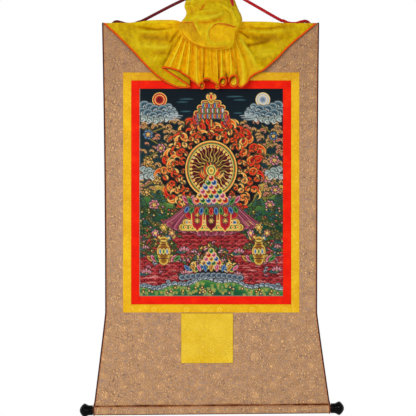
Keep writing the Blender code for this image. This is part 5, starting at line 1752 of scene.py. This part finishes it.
def paint_bank(art, draw):
    """The green foot with its rocks, grass and small flowers."""

    def edge(x):
        return 486 - 20 * bell(x, 80) + 4 * np.sin(x / 12)

    for x in np.arange(-176, 178, 12.5):
        art.volute(x + draw.uniform(-2, 2), edge(x) - 1, draw.uniform(7, 10), 1 if x > 0 else -1, ROCK)
    art.below(lambda x: edge(x) + 3, BANK)
    for x, y in draw.uniform((-172, 474), (172, 503), (130, 2)):
        if y > edge(x) + 4:
            for fan in (-30, 0, 30):
                art.petal(x, y + 3, 90 + fan, 6.5, 1.4, pick(draw, LEAF, LEAF_OLIVE), None)
    for x, y in draw.uniform((-170, 482), (170, 502), (40, 2)):
        if y > edge(x) + 6:
            art.blossom(x, y, 3.6, pick(draw, PETAL, PETAL_GOLD, CORAL), GOLD_LEAF, 5)


PICTURE_COLUMNS = 248
PICTURE_ROWS = 360


def picture(finish, back):
    """The painted canvas; each point of its front carries its colour and its distances to the drawn lines."""
    art = Painting(PICTURE_COLUMNS + 1, PICTURE_ROWS + 1)
    draw = np.random.default_rng(41)
    paint_sky_and_land(art)
    paint_scrolls(art, draw)
    paint_clouds(art)
    paint_aureole(art, draw)
    paint_water(art, draw)
    paint_shrubs(art, draw)
    paint_drape(art, draw)
    paint_parasol(art)
    paint_throne(art, draw)
    paint_vases(art, draw)
    paint_offerings(art, draw)
    paint_bank(art, draw)
    pale_edge = [(-174.6, -2), (-174.6, 505.4), (176, 505.4)]
    art.stroke(pale_edge, 0.7, bands((0, 156, 158, 146)), None)
    half = PICTURE_WIDTH / 2
    x, drop = np.meshgrid(
        np.linspace(GAP / 2 - half, half - GAP / 2, PICTURE_COLUMNS + 1),
        np.linspace(PICTURE_TOP + GAP / 2, PICTURE_FOOT - GAP / 2, PICTURE_ROWS + 1),
    )
    from_edge = np.minimum(half - np.abs(x), np.minimum(drop - PICTURE_TOP, PICTURE_FOOT - drop))
    front, lay = hung(x, drop, seam_dip(from_edge))
    marks = {"paint": art.colour, "lay": lay, **art.lines}
    made = cloth("picture_canvas", front, CANVAS_THICK, [finish, back], 8, **marks)
    dress(made, "picture", "painted_cotton", (PICTURE_WIDTH, PICTURE_HEIGHT), rests_on=["top_batten"])


def canvas_finish():
    """Printed cotton: matt colours, dark and gold lines, and a fine weave."""
    finish, across, along, spot = cloth_finish("painted_cotton", 0.6, 0.08)
    mottle = finish.noise(spot, 240, 3, 0.6)
    dark, gold = (finish.mark(line).rise(0.18, -0.18) for line in ("dark", "gold"))
    colour = finish.layers(
        finish.mark("paint", "Vector"),
        (mottle.rise(0.4, 0.8) * 0.2, 30, 18, 16),
        (dark * 0.88, 16, 14, 18),
        (gold * (0.7 + mottle * 0.4), 232, 196, 96),
    )
    height = weave_height(across, along, 0.7 * MM) * 0.5 + mottle * 0.3 + gold * 0.25
    return finish.wear((height, 0.4, 0.22 * MM), Base_Color=colour, Roughness=0.62 - gold * 0.2)


# ---- camera, light and stage
def camera_and_light():
    """A camera square to the face with a long lens, a soft key from the upper left, a fill and a floor."""
    scene = bpy.context.scene
    distance = 4.0
    view = bpy.data.cameras.new("camera")
    view.sensor_width = 36
    view.lens = 36 * distance / (FRAME_PIXELS * PIXEL)
    view.clip_end = 100
    scene.camera = placed("camera", view)
    scene.camera.location = (VIEW_X, -distance, VIEW_Z)
    scene.camera.rotation_euler = (math.radians(90), 0, 0)
    scene.view_settings.view_transform = "Standard"

    for name, place, size, power in (
        ("key", (-1.7, -2.6, 0.3), 1.6, 51),
        ("fill", (2.2, -2.8, -0.7), 2.2, 26),
    ):
        lamp = bpy.data.lights.new(name, "AREA")
        lamp.size = size
        lamp.energy = power
        made = placed(name, lamp)
        made.location = place
        aim = np.array([0, 0, -0.5]) - np.array(place)
        tilt, turn = math.atan2(math.hypot(aim[0], aim[1]), -aim[2]), math.atan2(-aim[0], aim[1])
        made.rotation_euler = (tilt, 0, turn)

    world = bpy.data.worlds.new("studio")
    scene.world = world
    world.use_nodes = True
    tree = world.node_tree
    direction, split, brightness = (
        tree.nodes.new(f"ShaderNode{kind}") for kind in ("TexCoord", "SeparateXYZ", "MapRange")
    )
    for socket, value in (("From Min", -0.3), ("From Max", 0.6), ("To Min", 0.38), ("To Max", 1.0)):
        brightness.inputs[socket].default_value = value
    tree.links.new(direction.outputs["Generated"], split.inputs[0])
    tree.links.new(split.outputs["Y"], brightness.inputs["Value"])
    tree.links.new(brightness.outputs[0], tree.nodes["Background"].inputs["Strength"])
    tree.nodes["Background"].inputs["Color"].default_value = (1, 1, 1, 1)

    floor = Finish("pale_floor", Roughness=0.8)
    grain = floor.noise(floor.place(), 3, 2, 0.5)
    paint = floor.ramp(grain, (0.3, 233.65, 233.65, 233.65), (0.7, 238.61, 238.61, 238.61))
    mesh = bpy.data.meshes.new("floor")
    reach, level = 2.8, -1.5
    corners = [(x * reach, y * reach, level) for x, y in ((-1, -1), (1, -1), (1, 1), (-1, 1))]
    mesh.from_pydata(corners, [], [(0, 1, 2, 3)])
    mesh.materials.append(floor.wear(Base_Color=paint))
    placed("floor", mesh)


# The lines that put the pieces together follow.
camera_and_light()
hanging_cord(cord_finish())

plain_back = brocade_finish("backing_cotton", front=False)
brocade_pieces(brocade_finish("brocade"), plain_back)
frame_strips(yellow_satin_finish(), red_satin_finish(), plain_back)
door_piece(door_finish(), plain_back)
bindings(binding_finish())
crease_stitches(fibre_finish("stitch_thread", 0.6, 0.1, 900, (44, 22, 16), (86, 48, 34)))
picture(canvas_finish(), plain_back)
veil(silk_finish(), hem_finish())
tie_ribbon(fibre_finish("ribbon_red", 0.4, 0.2, 700, (134, 0, 6), (196, 2, 16), (0.25, 0.2 * MM)))
knobs(lacquer_finish())
wooden_rods(wood_finish())
